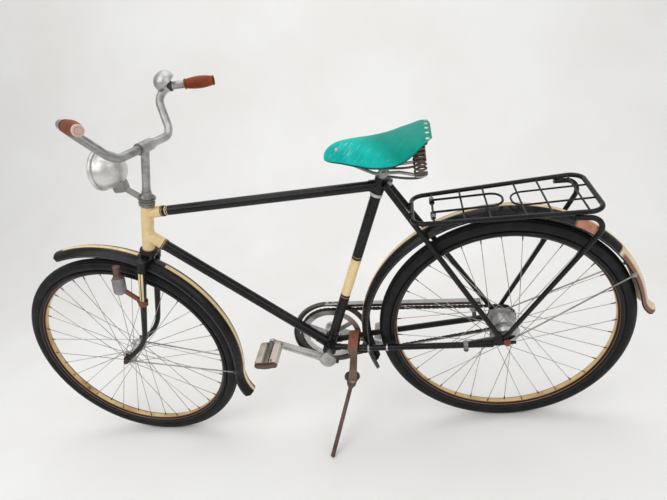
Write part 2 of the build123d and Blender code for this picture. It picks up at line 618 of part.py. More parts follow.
# Carrier: a bar loop wider at the rear, cross wires, and a stay to each side of the axle
RACK_Z = 2 * WHEEL_R + 51
RACK_BAR_R = 6.0
RACK_STAY_R = 6.5
RACK_WIRE_R = 2.5
stay_foot, stay_tip = seat_stay_ends(RIGHT)
STAY_AT_RACK = stay_foot + (stay_tip - stay_foot) * ((RACK_Z - stay_foot.Z) / (stay_tip.Z - stay_foot.Z))
RACK_FRONT = (STAY_AT_RACK.X + 11, 78.0)
RACK_REAR = (216.0, 105.0)
CLIP_HINGE_X = RACK_FRONT[0] + 53
CLIP_END_X = 4.0
CLIP_HALF_W = 34.0
CLIP_PIN_R = 3.0
CLIP_WIRE_R = 3.0
RACK_CROSS_X = (CLIP_HINGE_X, -95, -35, 45, 103, 182)


def rack_half_width(x):
    """Half width of the carrier's loop at a place along it."""
    share = (x - RACK_FRONT[0]) / (RACK_REAR[0] - RACK_FRONT[0])
    return RACK_FRONT[1] + share * (RACK_REAR[1] - RACK_FRONT[1])


with BuildPart() as rack:
    for side in SIDES:
        loop = [
            (RACK_FRONT[0], 0, RACK_Z),
            (RACK_FRONT[0], side * RACK_FRONT[1], RACK_Z),
            (RACK_REAR[0], side * RACK_REAR[1], RACK_Z),
            (RACK_REAR[0], 0, RACK_Z),
        ]
        bar(loop, RACK_BAR_R, bend=34)
    for x in RACK_CROSS_X:
        half = rack_half_width(x)
        bar([(x, -half, RACK_Z), (x, half, RACK_Z)], CLIP_PIN_R if x == CLIP_HINGE_X else RACK_WIRE_R)
    end_x = RACK_REAR[0]
    loop_x = CLIP_END_X + 21
    inner_loop = [(end_x, -36, RACK_Z), (loop_x, -36, RACK_Z), (loop_x, 36, RACK_Z), (end_x, 36, RACK_Z)]
    bar(inner_loop, RACK_WIRE_R, bend=30)
    for side in SIDES:
        drum(Vector(RACK_FRONT[0] - 8, side * STAY_AT_RACK.Y, RACK_Z), BACKWARD, 8, 10)
    add(seat_stays.part, mode=Mode.SUBTRACT)

with BuildPart() as rack_stays:
    for side in SIDES:
        ring_eye(REAR_AXLE, side, rack_eye_y, RACK_EYE_T, 11.0, AXLE_R)
        rail_y = rack_half_width(175)
        top = Vector(150, side * (rail_y - 1), RACK_Z - RACK_BAR_R - RACK_STAY_R)
        knee = Vector(231, side * (rail_y + 4), RACK_Z - 19)
        low = Vector(-6, side * (rack_eye_y + RACK_EYE_T / 2), WHEEL_R + 12)
        bar([top, knee, low], RACK_STAY_R, bend=30)
    add(rack.part, mode=Mode.SUBTRACT)
    add(rear_axle.part, mode=Mode.SUBTRACT)
    add(rear_fork_ends.part, mode=Mode.SUBTRACT)
    add(rear_guard_stays.part, mode=Mode.SUBTRACT)

with BuildPart() as rack_clip:
    clip_z = RACK_Z + RACK_WIRE_R + CLIP_WIRE_R + SEATING_GAP
    for side in SIDES:
        eye_start = Vector(CLIP_HINGE_X, side * CLIP_HALF_W - 5, RACK_Z)
        drum(eye_start, ALONG_Y, 7.0, 10)
    legs = [
        (CLIP_HINGE_X, -CLIP_HALF_W, clip_z), (CLIP_END_X, -CLIP_HALF_W, clip_z),
        (CLIP_END_X, CLIP_HALF_W, clip_z), (CLIP_HINGE_X, CLIP_HALF_W, clip_z),
    ]
    bar(legs, CLIP_WIRE_R, bend=30)
    pin_start = Vector(CLIP_HINGE_X, -60, RACK_Z)
    drum(pin_start, ALONG_Y, CLIP_PIN_R + RUNNING_FIT, 120, mode=Mode.SUBTRACT)

# Seat post and saddle
LUG_TOP = lug_low + SEAT_UP * lug_length
SADDLE_CLAMP = SEAT_TOP + SEAT_UP * 44
with BuildPart() as seat_post:
    drum(LUG_TOP, SEAT_UP, 12.7, 22)
    drum(SADDLE_CLAMP - Vector(0, 30, 0), ALONG_Y, 11.0, 60, mode=Mode.SUBTRACT)

# Saddle: sections of its leather top, measured from the clamp, from the nose to the back
LEATHER_T = 4.5
SADDLE_SECTIONS = [
    (-138, 12, 54, 68),
    (-123, 20, 46, 76),
    (-98, 28, 39, 82),
    (-53, 41, 28, 86),
    (-13, 62, 28, 87),
    (22, 82, 36, 88),
    (47, 95, 49, 90),
    (72, 101, 69, 92),
    (97, 96, 82, 94),
    (119, 78, 86, 94),
]


def saddle_plane(back):
    """Upright plane across the saddle, a distance behind its clamp."""
    return Plane(origin=SADDLE_CLAMP + BACKWARD * back, x_dir=ALONG_Y, z_dir=BACKWARD)


with BuildPart() as saddle_cover:
    # each row: distance behind the clamp, half width, height of the edge, height of the middle
    for back, half, edge, top in SADDLE_SECTIONS:
        inner, rise = half - LEATHER_T, top - edge
        with BuildSketch(saddle_plane(back)):
            with BuildLine():
                EllipticalCenterArc((0, edge), half, rise, arc_size=180)
                Line((-half, edge), (-inner, edge))
                EllipticalCenterArc((0, edge), inner, rise - LEATHER_T, arc_size=180)
                Line((inner, edge), (half, edge))
            make_face()
    loft()
    back, half, edge, top = SADDLE_SECTIONS[0]
    with BuildSketch(saddle_plane(back)):
        with BuildLine():
            EllipticalCenterArc((0, edge), half, top - edge, arc_size=180)
            Line((-half, edge), (half, edge))
        make_face()
    extrude(amount=-LEATHER_T)

SPRING_BACK = 89.0
SPRING_Y = 46.0
SPRING_R = 16.5
SPRING_TURNS = 7
SPRING_PITCH = 11.0
SPRING_FOOT = SADDLE_CLAMP + Vector(SPRING_BACK, 0, -4)
CUP_T = 3.0
with BuildPart() as saddle_frame:
    drum(SADDLE_CLAMP - Vector(0, 27, 0), ALONG_Y, 11.0, 54)
    nose = SADDLE_CLAMP + Vector(-121, 0, 54.5)
    for side in SIDES:
        rail = [nose + Vector(0, side * 11, 0), SADDLE_CLAMP + Vector(-22, side * 21, 0)]
        rail.append(SADDLE_CLAMP + Vector(38, side * 26, -2))
        rail.append(SPRING_FOOT + Vector(0, side * SPRING_Y, -CUP_T - 2.5))
        bar(rail, 4.0, bend=30)
        drum(SPRING_FOOT + Vector(0, side * SPRING_Y, -CUP_T), (0, 0, 1), SPRING_R, CUP_T)
    drum(nose - Vector(0, 17, 0), ALONG_Y, 5.0, 34)
    add(saddle_cover.part, mode=Mode.SUBTRACT)

with BuildPart() as saddle_springs:
    ribs = [(0, 0)]
    for turn in range(SPRING_TURNS):
        ribs += [(turn * SPRING_PITCH, SPRING_R - 4), ((turn + 0.5) * SPRING_PITCH, SPRING_R)]
    ribs += [(SPRING_TURNS * SPRING_PITCH, SPRING_R - 4), (SPRING_TURNS * SPRING_PITCH, 0)]
    for side in SIDES:
        turned(SPRING_FOOT + Vector(0, side * SPRING_Y, 0), (0, 0, 1), ribs)

with BuildPart() as saddle_cantle:
    cantle_at = SPRING_FOOT + Vector(4, 0, SPRING_TURNS * SPRING_PITCH)
    with BuildSketch(Plane(origin=cantle_at, x_dir=BACKWARD, z_dir=(0, 0, 1))):
        RectangleRounded(36, 144, 16)
    extrude(amount=3)
    for across in (-50, 0, 50):
        drum(cantle_at + Vector(6, across, 0), (0, 0, 1), 6.0, 17.5)
    add(saddle_cover.part, mode=Mode.SUBTRACT)

# Cranks, chain wheel and pedals
CRANK_DIR = Vector(-cos(radians(CRANK_ANGLE)), 0, sin(radians(CRANK_ANGLE)))
CRANK_T = 11.0
FLUTE_LENGTH = CRANK_LENGTH - 70
PEDAL_GAP = 4.0
PEDAL_W = 88.0
PEDAL_SPINDLE_R = 4.5
PEDAL_CAP_H = 12.0
LEFT_END = BRACKET + CRANK_DIR * CRANK_LENGTH
RIGHT_END = BRACKET - CRANK_DIR * CRANK_LENGTH


def crank_arm(end, side):
    """Adds a crank arm with its boss and pedal spindle to the open part."""
    plane = Plane(origin=(0, side * CRANK_Y, 0), x_dir=(1, 0, 0), z_dir=(0, side, 0))
    flip = -side
    with BuildSketch(plane) as arm:
        with Locations((BRACKET.X, flip * BRACKET.Z)):
            Circle(11.5)
        with Locations((end.X, flip * end.Z)):
            Circle(9.0)
        make_hull()
    extrude(arm.sketch, amount=CRANK_T)
    outer_y = side * (CRANK_Y + CRANK_T)
    half_way = Vector((BRACKET.X + end.X) / 2, outer_y, (BRACKET.Z + end.Z) / 2)
    face = Plane(origin=half_way, x_dir=(end - BRACKET).normalized(), z_dir=(0, side, 0))
    with BuildSketch(face) as flute:
        SlotCenterToCenter(FLUTE_LENGTH, 7)
    extrude(flute.sketch, amount=-2, mode=Mode.SUBTRACT)
    drum(Vector(BRACKET.X, side * CRANK_Y, BRACKET.Z), (0, side, 0), 19.0, CRANK_T + 4)
    drum(Vector(end.X, side * CRANK_Y, end.Z), (0, side, 0), 11.0, CRANK_T)
    tip = Vector(end.X, outer_y, end.Z)
    drum(tip, (0, side, 0), PEDAL_SPINDLE_R, PEDAL_GAP + PEDAL_W - 4)


RING_T = 2.6
with BuildPart() as left_crank:
    crank_arm(LEFT_END, LEFT)
    drum(Vector(BRACKET.X, -CRANK_Y - 2, BRACKET.Z), ALONG_Y, SPINDLE_R, CRANK_Y + 2 + 40)

with BuildPart() as right_crank:
    crank_arm(RIGHT_END, RIGHT)
    drum(Vector(BRACKET.X, 40, BRACKET.Z), ALONG_Y, 17.0, CRANK_Y - 38)
    ring_tip_r = RING_PITCH_R - CHAIN_HALF_H - TOOTH_GAP
    ring_at = BRACKET + Vector(0, CHAIN_LINE + RING_T / 2, 0)
    with BuildSketch(Plane(origin=ring_at, x_dir=(1, 0, 0), z_dir=(0, -1, 0))):
        Circle(ring_tip_r)
        Circle(ring_tip_r - 17, mode=Mode.SUBTRACT)
        with PolarLocations(0, 3, start_angle=30):
            Rectangle(ring_tip_r - 6, 15, align=(Align.MIN, Align.CENTER))
    extrude(amount=RING_T)


def pedal_body(end, side):
    """Adds a pedal's tube and end plates to the open part."""
    inner = side * (CRANK_Y + CRANK_T + PEDAL_GAP)
    base = Vector(end.X, inner, end.Z)
    drum(base, (0, side, 0), 8.5, PEDAL_W)
    for offset in (0, PEDAL_W - 3):
        plate = Plane(origin=base + Vector(0, side * offset, 0), x_dir=(1, 0, 0), z_dir=(0, side, 0))
        with BuildSketch(plate) as outline:
            SlotCenterToCenter(46, 20)
        extrude(outline.sketch, amount=3)
    outer = base + Vector(0, side * PEDAL_W, -PEDAL_CAP_H / 2)
    with BuildSketch(Plane(origin=outer, x_dir=(1, 0, 0), z_dir=(0, 0, 1))) as cap:
        with BuildLine():
            ThreePointArc((-31, 0), (0, side * 7), (31, 0))
            Line((31, 0), (-31, 0))
        make_face()
    extrude(cap.sketch, amount=PEDAL_CAP_H)
    drum(base, (0, side, 0), PEDAL_SPINDLE_R + RUNNING_FIT, PEDAL_W - 3, mode=Mode.SUBTRACT)


def pedal_rubbers(end, side):
    """Adds a pedal's two tread blocks, between its end plates, to the open part."""
    base = Vector(end.X, side * (CRANK_Y + CRANK_T + PEDAL_GAP + 3), end.Z)
    plane = Plane(origin=base, x_dir=(1, 0, 0), z_dir=(0, side, 0))
    with BuildSketch(plane) as blocks:
        with Locations((-21, 0), (21, 0)):
            RectangleRounded(20, 25, 4)
    extrude(blocks.sketch, amount=PEDAL_W - 6)


with BuildPart() as left_pedal:
    pedal_body(LEFT_END, LEFT)

with BuildPart() as left_pedal_blocks:
    pedal_rubbers(LEFT_END, LEFT)

with BuildPart() as right_pedal:
    pedal_body(RIGHT_END, RIGHT)

with BuildPart() as right_pedal_blocks:
    pedal_rubbers(RIGHT_END, RIGHT)

# Chain round the chain wheel and the sprocket, wide at its pins and narrow between them
CHAIN_W = 9.0
CHAIN_WAIST = 1.3
CENTRE_LINE = REAR_AXLE - BRACKET
CENTRE_ANGLE = atan2(CENTRE_LINE.Z, CENTRE_LINE.X)
TANGENT_ANGLE = acos((RING_PITCH_R - SPROCKET_PITCH_R) / CENTRE_LINE.length)
RUN_LENGTH = CENTRE_LINE.length * sin(TANGENT_ANGLE)
SPROCKET_WRAP = 2 * TANGENT_ANGLE * SPROCKET_PITCH_R
RING_WRAP = 2 * (pi - TANGENT_ANGLE) * RING_PITCH_R
CHAIN_LENGTH = 2 * RUN_LENGTH + SPROCKET_WRAP + RING_WRAP
LINK_COUNT = round(CHAIN_LENGTH / CHAIN_PITCH)


def chain_point(along, lift):
    """Point at a distance along the chain, raised outward from its pins by a lift."""
    upper = CENTRE_ANGLE + TANGENT_ANGLE
    lower = CENTRE_ANGLE - TANGENT_ANGLE
    corners = [RUN_LENGTH, RUN_LENGTH + SPROCKET_WRAP, 2 * RUN_LENGTH + SPROCKET_WRAP]
    if along < corners[0]:
        centre, radius, angle, run = BRACKET, RING_PITCH_R, upper, along
    elif along < corners[1]:
        centre, radius, run = REAR_AXLE, SPROCKET_PITCH_R, 0
        angle = upper - (along - corners[0]) / SPROCKET_PITCH_R
    elif along < corners[2]:
        centre, radius, angle, run = REAR_AXLE, SPROCKET_PITCH_R, lower, along - corners[1]
    else:
        centre, radius, run = BRACKET, RING_PITCH_R, 0
        angle = lower - (along - corners[2]) / RING_PITCH_R
    out = radius + lift
    return (
        centre.X + out * cos(angle) + run * sin(angle),
        centre.Z + out * sin(angle) - run * cos(angle),
    )


def chain_outline(outward):
    """Points of the chain's outer or inner outline, one at each pin and one at each waist."""
    count = 2 * LINK_COUNT
    lifts = [outward * (CHAIN_HALF_H - CHAIN_WAIST * (index % 2)) for index in range(count)]
    return [chain_point(CHAIN_LENGTH * index / count, lift) for index, lift in enumerate(lifts)]


with BuildPart() as chain:
    with BuildSketch(Plane(origin=(0, CHAIN_LINE + CHAIN_W / 2, 0), x_dir=(1, 0, 0), z_dir=(0, -1, 0))):
        Polygon(*chain_outline(1), align=None)
        Polygon(*chain_outline(-1), align=None, mode=Mode.SUBTRACT)
    extrude(amount=CHAIN_W)

# Chain guard: a ring round the chain wheel and a band over the upper run, with a lip inward
GUARD_Y = 51.5
GUARD_PLATE_T = 1.5
GUARD_LIP = 14.0
GUARD_RING_R = 121.0
GUARD_RING_W = 17.0
GUARD_TAIL_X = -57.0
with BuildPart() as chain_guard:
    slope = (BRACKET.Z + RING_PITCH_R - REAR_AXLE.Z - SPROCKET_PITCH_R) / (REAR_AXLE.X - BRACKET.X)
    top_z = BRACKET.Z + GUARD_RING_R
    tail_z = top_z - slope * (GUARD_TAIL_X - BRACKET.X)
    face_plane = Plane(origin=(0, GUARD_Y, 0), x_dir=(1, 0, 0), z_dir=(0, -1, 0))
    with BuildSketch(face_plane):
        with Locations((BRACKET.X, BRACKET.Z)):
            Circle(GUARD_RING_R)
        with BuildLine():
            Polyline(
                (BRACKET.X, top_z), (GUARD_TAIL_X, tail_z), (GUARD_TAIL_X + 4, tail_z - 22),
                (BRACKET.X, top_z - GUARD_RING_W - 4), close=True,
            )
        make_face()
        with Locations((BRACKET.X, BRACKET.Z)):
            Circle(GUARD_RING_R - GUARD_RING_W, mode=Mode.SUBTRACT)
        with Locations((-75, WHEEL_R - 11)):
            Rectangle(12, 70, align=(Align.CENTER, Align.MIN))
    extrude(amount=-GUARD_PLATE_T)
    with BuildSketch(face_plane):
        with BuildLine():
            Line((BRACKET.X, top_z), (GUARD_TAIL_X, tail_z))
            Line((GUARD_TAIL_X, tail_z), (GUARD_TAIL_X, tail_z - GUARD_PLATE_T))
            Line((GUARD_TAIL_X, tail_z - GUARD_PLATE_T), (BRACKET.X, top_z - GUARD_PLATE_T))
            ThreePointArc(
                (BRACKET.X, top_z - GUARD_PLATE_T),
                (BRACKET.X - GUARD_RING_R + GUARD_PLATE_T, BRACKET.Z),
                (BRACKET.X, BRACKET.Z - GUARD_RING_R + GUARD_PLATE_T),
            )
            Line((BRACKET.X, BRACKET.Z - GUARD_RING_R + GUARD_PLATE_T), (BRACKET.X, BRACKET.Z - GUARD_RING_R))
            ThreePointArc(
                (BRACKET.X, BRACKET.Z - GUARD_RING_R),
                (BRACKET.X - GUARD_RING_R, BRACKET.Z),
                (BRACKET.X, top_z),
            )
        make_face()
    extrude(amount=GUARD_LIP)
    guard_peg = BRACKET + SEAT_UP * 120
    drum(Vector(guard_peg.X, 10, guard_peg.Z), ALONG_Y, 4.0, GUARD_Y - 10)
    for neighbour in (seat_tube, chain_stays, rear_fork_ends):
        add(neighbour.part, mode=Mode.SUBTRACT)

# Side stand: clamp plates on the chain stays, a strap down to the pivot, and the leg
LEAN_AXIS = Axis((0, 0, TYRE_W / 2), (1, 0, 0))


def turn_about(axis, angle):
    """Location that turns a thing about an axis by an angle in degrees."""
    home = Location(axis.position)
    return home * Location((0, 0, 0), axis.direction, angle) * home.inverse()


LEANED = turn_about(LEAN_AXIS, LEAN)
FOOT = (LEANED.inverse() * Location((-FOOT_BACK, -FOOT_SIDE, FOOT_R))).position
STAND_PIVOT = Vector(-464, -32, 214)
STAND_BEND = STAND_PIVOT + Vector(-22, 5, -66)
FOLDED_DIR = Vector(0.955, -0.25, -0.16).normalized()
LEG_DIR = (FOOT - STAND_PIVOT).normalized()
swing = (LEG_DIR - FOLDED_DIR).normalized()
STAND_AXIS = (Vector(0, -1, 0) - swing * Vector(0, -1, 0).dot(swing)).normalized()
leg_flat = (LEG_DIR - STAND_AXIS * LEG_DIR.dot(STAND_AXIS)).normalized()
folded_flat = (FOLDED_DIR - STAND_AXIS * FOLDED_DIR.dot(STAND_AXIS)).normalized()
STAND_SWING = degrees(acos(leg_flat.dot(folded_flat)))
PIN_R = 4.0
STRAP_Y = 40.0
STRAP_T = 4.0
CLAMP_RIGHT = 38.0
with BuildPart() as stand_bracket:
    clamp_x = BRACKET.X + 74.0
    for plate_z in (BRACKET.Z + CHAIN_STAY_R + 0.6, BRACKET.Z - CHAIN_STAY_R - 5.0):
        with BuildSketch(Plane.XY.offset(plate_z)):
            with Locations((clamp_x, CLAMP_RIGHT)):
                Rectangle(30, CLAMP_RIGHT + STRAP_Y + STRAP_T, align=(Align.CENTER, Align.MAX))
        extrude(amount=4.5)
    drum(Vector(clamp_x, 0, BRACKET.Z - CHAIN_STAY_R - 12), (0, 0, 1), 5.0, 2 * CHAIN_STAY_R + 26)
    with BuildSketch(Plane(origin=(0, -STRAP_Y, 0), x_dir=(1, 0, 0), z_dir=(0, -1, 0))):
        with BuildLine():
            Polyline(
                (clamp_x - 15, BRACKET.Z + 14), (clamp_x + 15, BRACKET.Z + 14), (clamp_x + 8, BRACKET.Z - 30),
                (STAND_PIVOT.X + 13, STAND_PIVOT.Z), (STAND_PIVOT.X - 13, STAND_PIVOT.Z),
                (clamp_x - 14, BRACKET.Z - 30), close=True,
            )
        make_face()
        with Locations((STAND_PIVOT.X, STAND_PIVOT.Z)):
            Circle(13)
    extrude(amount=STRAP_T)
    drum(STAND_PIVOT - STAND_AXIS * 7, STAND_AXIS, PIN_R, 18)
    add(chain_stays.part, mode=Mode.SUBTRACT)

with BuildPart() as stand_leg:
    drum(STAND_PIVOT - STAND_AXIS * 4.5, STAND_AXIS, 11.0, 9.0)
    bar([STAND_PIVOT + (STAND_BEND - STAND_PIVOT) * 0.1, STAND_BEND, FOOT], 6.5, bend=60)
    with BuildSketch(Plane(origin=FOOT, x_dir=(1, 0, 0), z_dir=(0, -1, 0))):
        with BuildLine():
            CenterArc((0, 0), FOOT_R, -90, 180)
            Line((0, FOOT_R), (0, -FOOT_R))
        make_face()
    revolve(axis=Axis(FOOT, (0, 0, 1)))
    drum(STAND_PIVOT - STAND_AXIS * 12, STAND_AXIS, PIN_R + RUNNING_FIT, 24, mode=Mode.SUBTRACT)

# Parked places: the whole bicycle leans on its stand, and the steered pieces turn first
STEER_AXIS = Axis(STEER_FOOT, STEER_UP)


def ring_low_point(stance, centre):
    """Height of the lowest point of a tyre whose axle and centre are moved by a stance."""
    middle = (stance * Location(centre)).position
    out = (stance * Location(centre + Vector(0, 1, 0))).position - middle
    return middle.Z - TYRE_W / 2 - RING_R * sqrt(1 - out.Z**2)


STEERED = turn_about(STEER_AXIS, STEER_AT_REST)
BARS_TURNED = turn_about(STEER_AXIS, STEER_AT_REST + BAR_TWIST)
front_drop = ring_low_point(LEANED * STEERED, FRONT_AXLE)
PITCH = degrees(atan2(front_drop, WHEELBASE))
LEVELLED = turn_about(Axis((0, 0, 0), ALONG_Y), -PITCH) * LEANED
BIKE = LEVELLED
FORK = LEVELLED * STEERED
BARS = LEVELLED * BARS_TURNED

# each row: name, built piece, stance
pieces = [
    ("head_tube", head_tube, BIKE),
    ("seat_lug", seat_lug, BIKE),
    ("bottom_bracket", bottom_bracket, BIKE),
    ("top_tube", top_tube, BIKE),
    ("down_tube", down_tube, BIKE),
    ("seat_tube", seat_tube, BIKE),
    ("rear_fork_ends", rear_fork_ends, BIKE),
    ("chain_stays", chain_stays, BIKE),
    ("seat_stays", seat_stays, BIKE),
    ("rear_axle", rear_axle, BIKE),
    ("brake_arm", brake_arm, BIKE),
    ("head_cups", head_cups, BIKE),
    ("rear_mudguard", rear_mudguard, BIKE),
    ("rear_guard_stays", rear_guard_stays, BIKE),
    ("rack", rack, BIKE),
    ("rack_stays", rack_stays, BIKE),
    ("seat_post", seat_post, BIKE),
    ("saddle_cover", saddle_cover, BIKE),
    ("saddle_frame", saddle_frame, BIKE),
    ("saddle_springs", saddle_springs, BIKE),
    ("saddle_cantle", saddle_cantle, BIKE),
    ("chain", chain, BIKE),
    ("chain_guard", chain_guard, BIKE),
    ("stand_bracket", stand_bracket, BIKE),
    ("stand_leg", stand_leg, BIKE),
    ("rack_clip", rack_clip, BIKE),
    ("rear_tyre", rear_tyre, BIKE),
    ("rear_rim", rear_rim, BIKE),
    ("rear_spokes", rear_spokes, BIKE),
    ("rear_hub", rear_hub, BIKE),
    ("left_crank", left_crank, BIKE),
    ("right_crank", right_crank, BIKE),
    ("left_pedal", left_pedal, BIKE),
    ("left_pedal_blocks", left_pedal_blocks, BIKE),
    ("right_pedal", right_pedal, BIKE),
    ("right_pedal_blocks", right_pedal_blocks, BIKE),
    ("fork_crown", fork_crown, FORK),
    ("fork_blades", fork_blades, FORK),
    ("head_nuts", head_nuts, FORK),
    ("front_axle", front_axle, FORK),
    ("headlamp", headlamp, FORK),
    ("headlamp_glass", headlamp_glass, FORK),
    ("lamp_bracket", lamp_bracket, FORK),
    ("dynamo", dynamo, FORK),
    ("dynamo_bracket", dynamo_bracket, FORK),
    ("front_mudguard", front_mudguard, FORK),
    ("front_guard_stays", front_guard_stays, FORK),
    ("stem", stem, BARS),
    ("handlebar", handlebar, BARS),
    ("grips", grips, BARS),
    ("bell", bell, BARS),
    ("front_tyre", front_tyre, FORK),
    ("front_rim", front_rim, FORK),
    ("front_spokes", front_spokes, FORK),
    ("front_hub", front_hub, FORK),
]

boxes = [(stance * piece.part).bounding_box() for name, piece, stance in pieces]
MIDDLE = Vector(
    (min(box.min.X for box in boxes) + max(box.max.X for box in boxes)) / 2,
    (min(box.min.Y for box in boxes) + max(box.max.Y for box in boxes)) / 2,
    0,
)
ORIGIN = Location(-MIDDLE)

os.makedirs("parts", exist_ok=True)
for name, piece, stance in pieces:
    piece.part = ORIGIN * stance * piece.part
    piece.part.label = name
    export_step(piece.part, f"parts/{name}.step")
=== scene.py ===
"""Old roadster bicycle leaning on its side stand, dressed and lit in a plain studio."""
from __future__ import annotations

import json
import logging
import math
from dataclasses import dataclass, field
from enum import Enum
from typing import Protocol, Sequence

import bmesh
import bpy
from mathutils import Matrix, Vector


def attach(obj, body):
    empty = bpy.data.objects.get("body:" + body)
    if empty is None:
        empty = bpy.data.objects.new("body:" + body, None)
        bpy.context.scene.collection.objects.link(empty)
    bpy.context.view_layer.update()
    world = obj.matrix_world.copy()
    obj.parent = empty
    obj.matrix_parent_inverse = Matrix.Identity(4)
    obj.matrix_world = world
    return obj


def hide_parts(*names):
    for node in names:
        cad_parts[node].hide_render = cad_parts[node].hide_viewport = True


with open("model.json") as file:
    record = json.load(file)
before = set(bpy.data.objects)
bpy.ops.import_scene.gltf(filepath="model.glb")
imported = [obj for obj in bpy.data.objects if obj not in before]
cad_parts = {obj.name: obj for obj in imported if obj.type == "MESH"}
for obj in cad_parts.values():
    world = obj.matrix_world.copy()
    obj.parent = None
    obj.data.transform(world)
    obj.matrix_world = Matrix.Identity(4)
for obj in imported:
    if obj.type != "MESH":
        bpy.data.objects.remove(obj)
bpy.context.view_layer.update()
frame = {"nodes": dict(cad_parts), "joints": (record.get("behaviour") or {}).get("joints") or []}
LOG = logging.getLogger("roadster")
Colour = tuple[float, float, float, float]
Place = tuple[float, float, float]
MM = 0.001
Flat = tuple[float, float]
Pair = tuple[Vector, Vector]
Socket = bpy.types.NodeSocket
Material = bpy.types.Material
Piece = bpy.types.Object


def tint(red: int, green: int, blue: int) -> Colour:
    """Turns a screen colour of 0 to 255 a channel into the linear colour of a shader.

    Args:
        red: Red channel.
        green: Green channel.
        blue: Blue channel.

    Returns:
        Linear red, green, blue and a full alpha.
    """

    def linear(channel: int) -> float:
        """Linear value of one channel."""
        share = channel / 255
        return share / 12.92 if share <= 0.04045 else ((share + 0.055) / 1.055) ** 2.4

    return (linear(red), linear(green), linear(blue), 1.0)


class Side(Enum):
    """Side of the bicycle, seen by its rider."""

    LEFT = -1
    RIGHT = 1

    @property
    def out(self) -> Vector:
        """Drawn direction away from the middle on this side."""
        return Vector((0, self.value, 0))

    @property
    def label(self) -> str:
        """Start of the name of a piece on this side."""
        return self.name.lower()


@dataclass(frozen=True)
class Stance:
    """Where a drawn, upright group of pieces stands in the parked bicycle.

    Drawn places are in millimetres, heading -X with the rider's left at -Y, x = 0 at the rear
    axle and z = 0 on the ground.
    """

    matrix: Matrix

    def at(self, place: Sequence[float]) -> Vector:
        """Parked place, in metres, of a drawn point."""
        return self.matrix @ Vector(place)

    def along(self, direction: Sequence[float]) -> Vector:
        """Parked unit direction of a drawn direction."""
        return (self.matrix.to_3x3() @ Vector(direction)).normalized()

    def turned(self, pivot: Vector, axis: Vector, angle: float) -> Stance:
        """Stance turned about an axis.

        Args:
            pivot: Point on the axis, in metres.
            axis: Direction of the axis.
            angle: Turn in radians.

        Returns:
            The turned stance.
        """
        there = Matrix.Translation(pivot)
        return Stance(there @ Matrix.Rotation(angle, 4, axis) @ there.inverted() @ self.matrix)


PLAIN = Stance(Matrix.Scale(MM, 4))
ACROSS = Vector((0, 1, 0))
BACKWARD = Vector((1, 0, 0))
UPWARD = Vector((0, 0, 1))


def radial(angle: float) -> Vector:
    """Drawn direction at an angle about a cross axis, measured up from the rear."""
    return Vector((math.cos(angle), 0, math.sin(angle)))


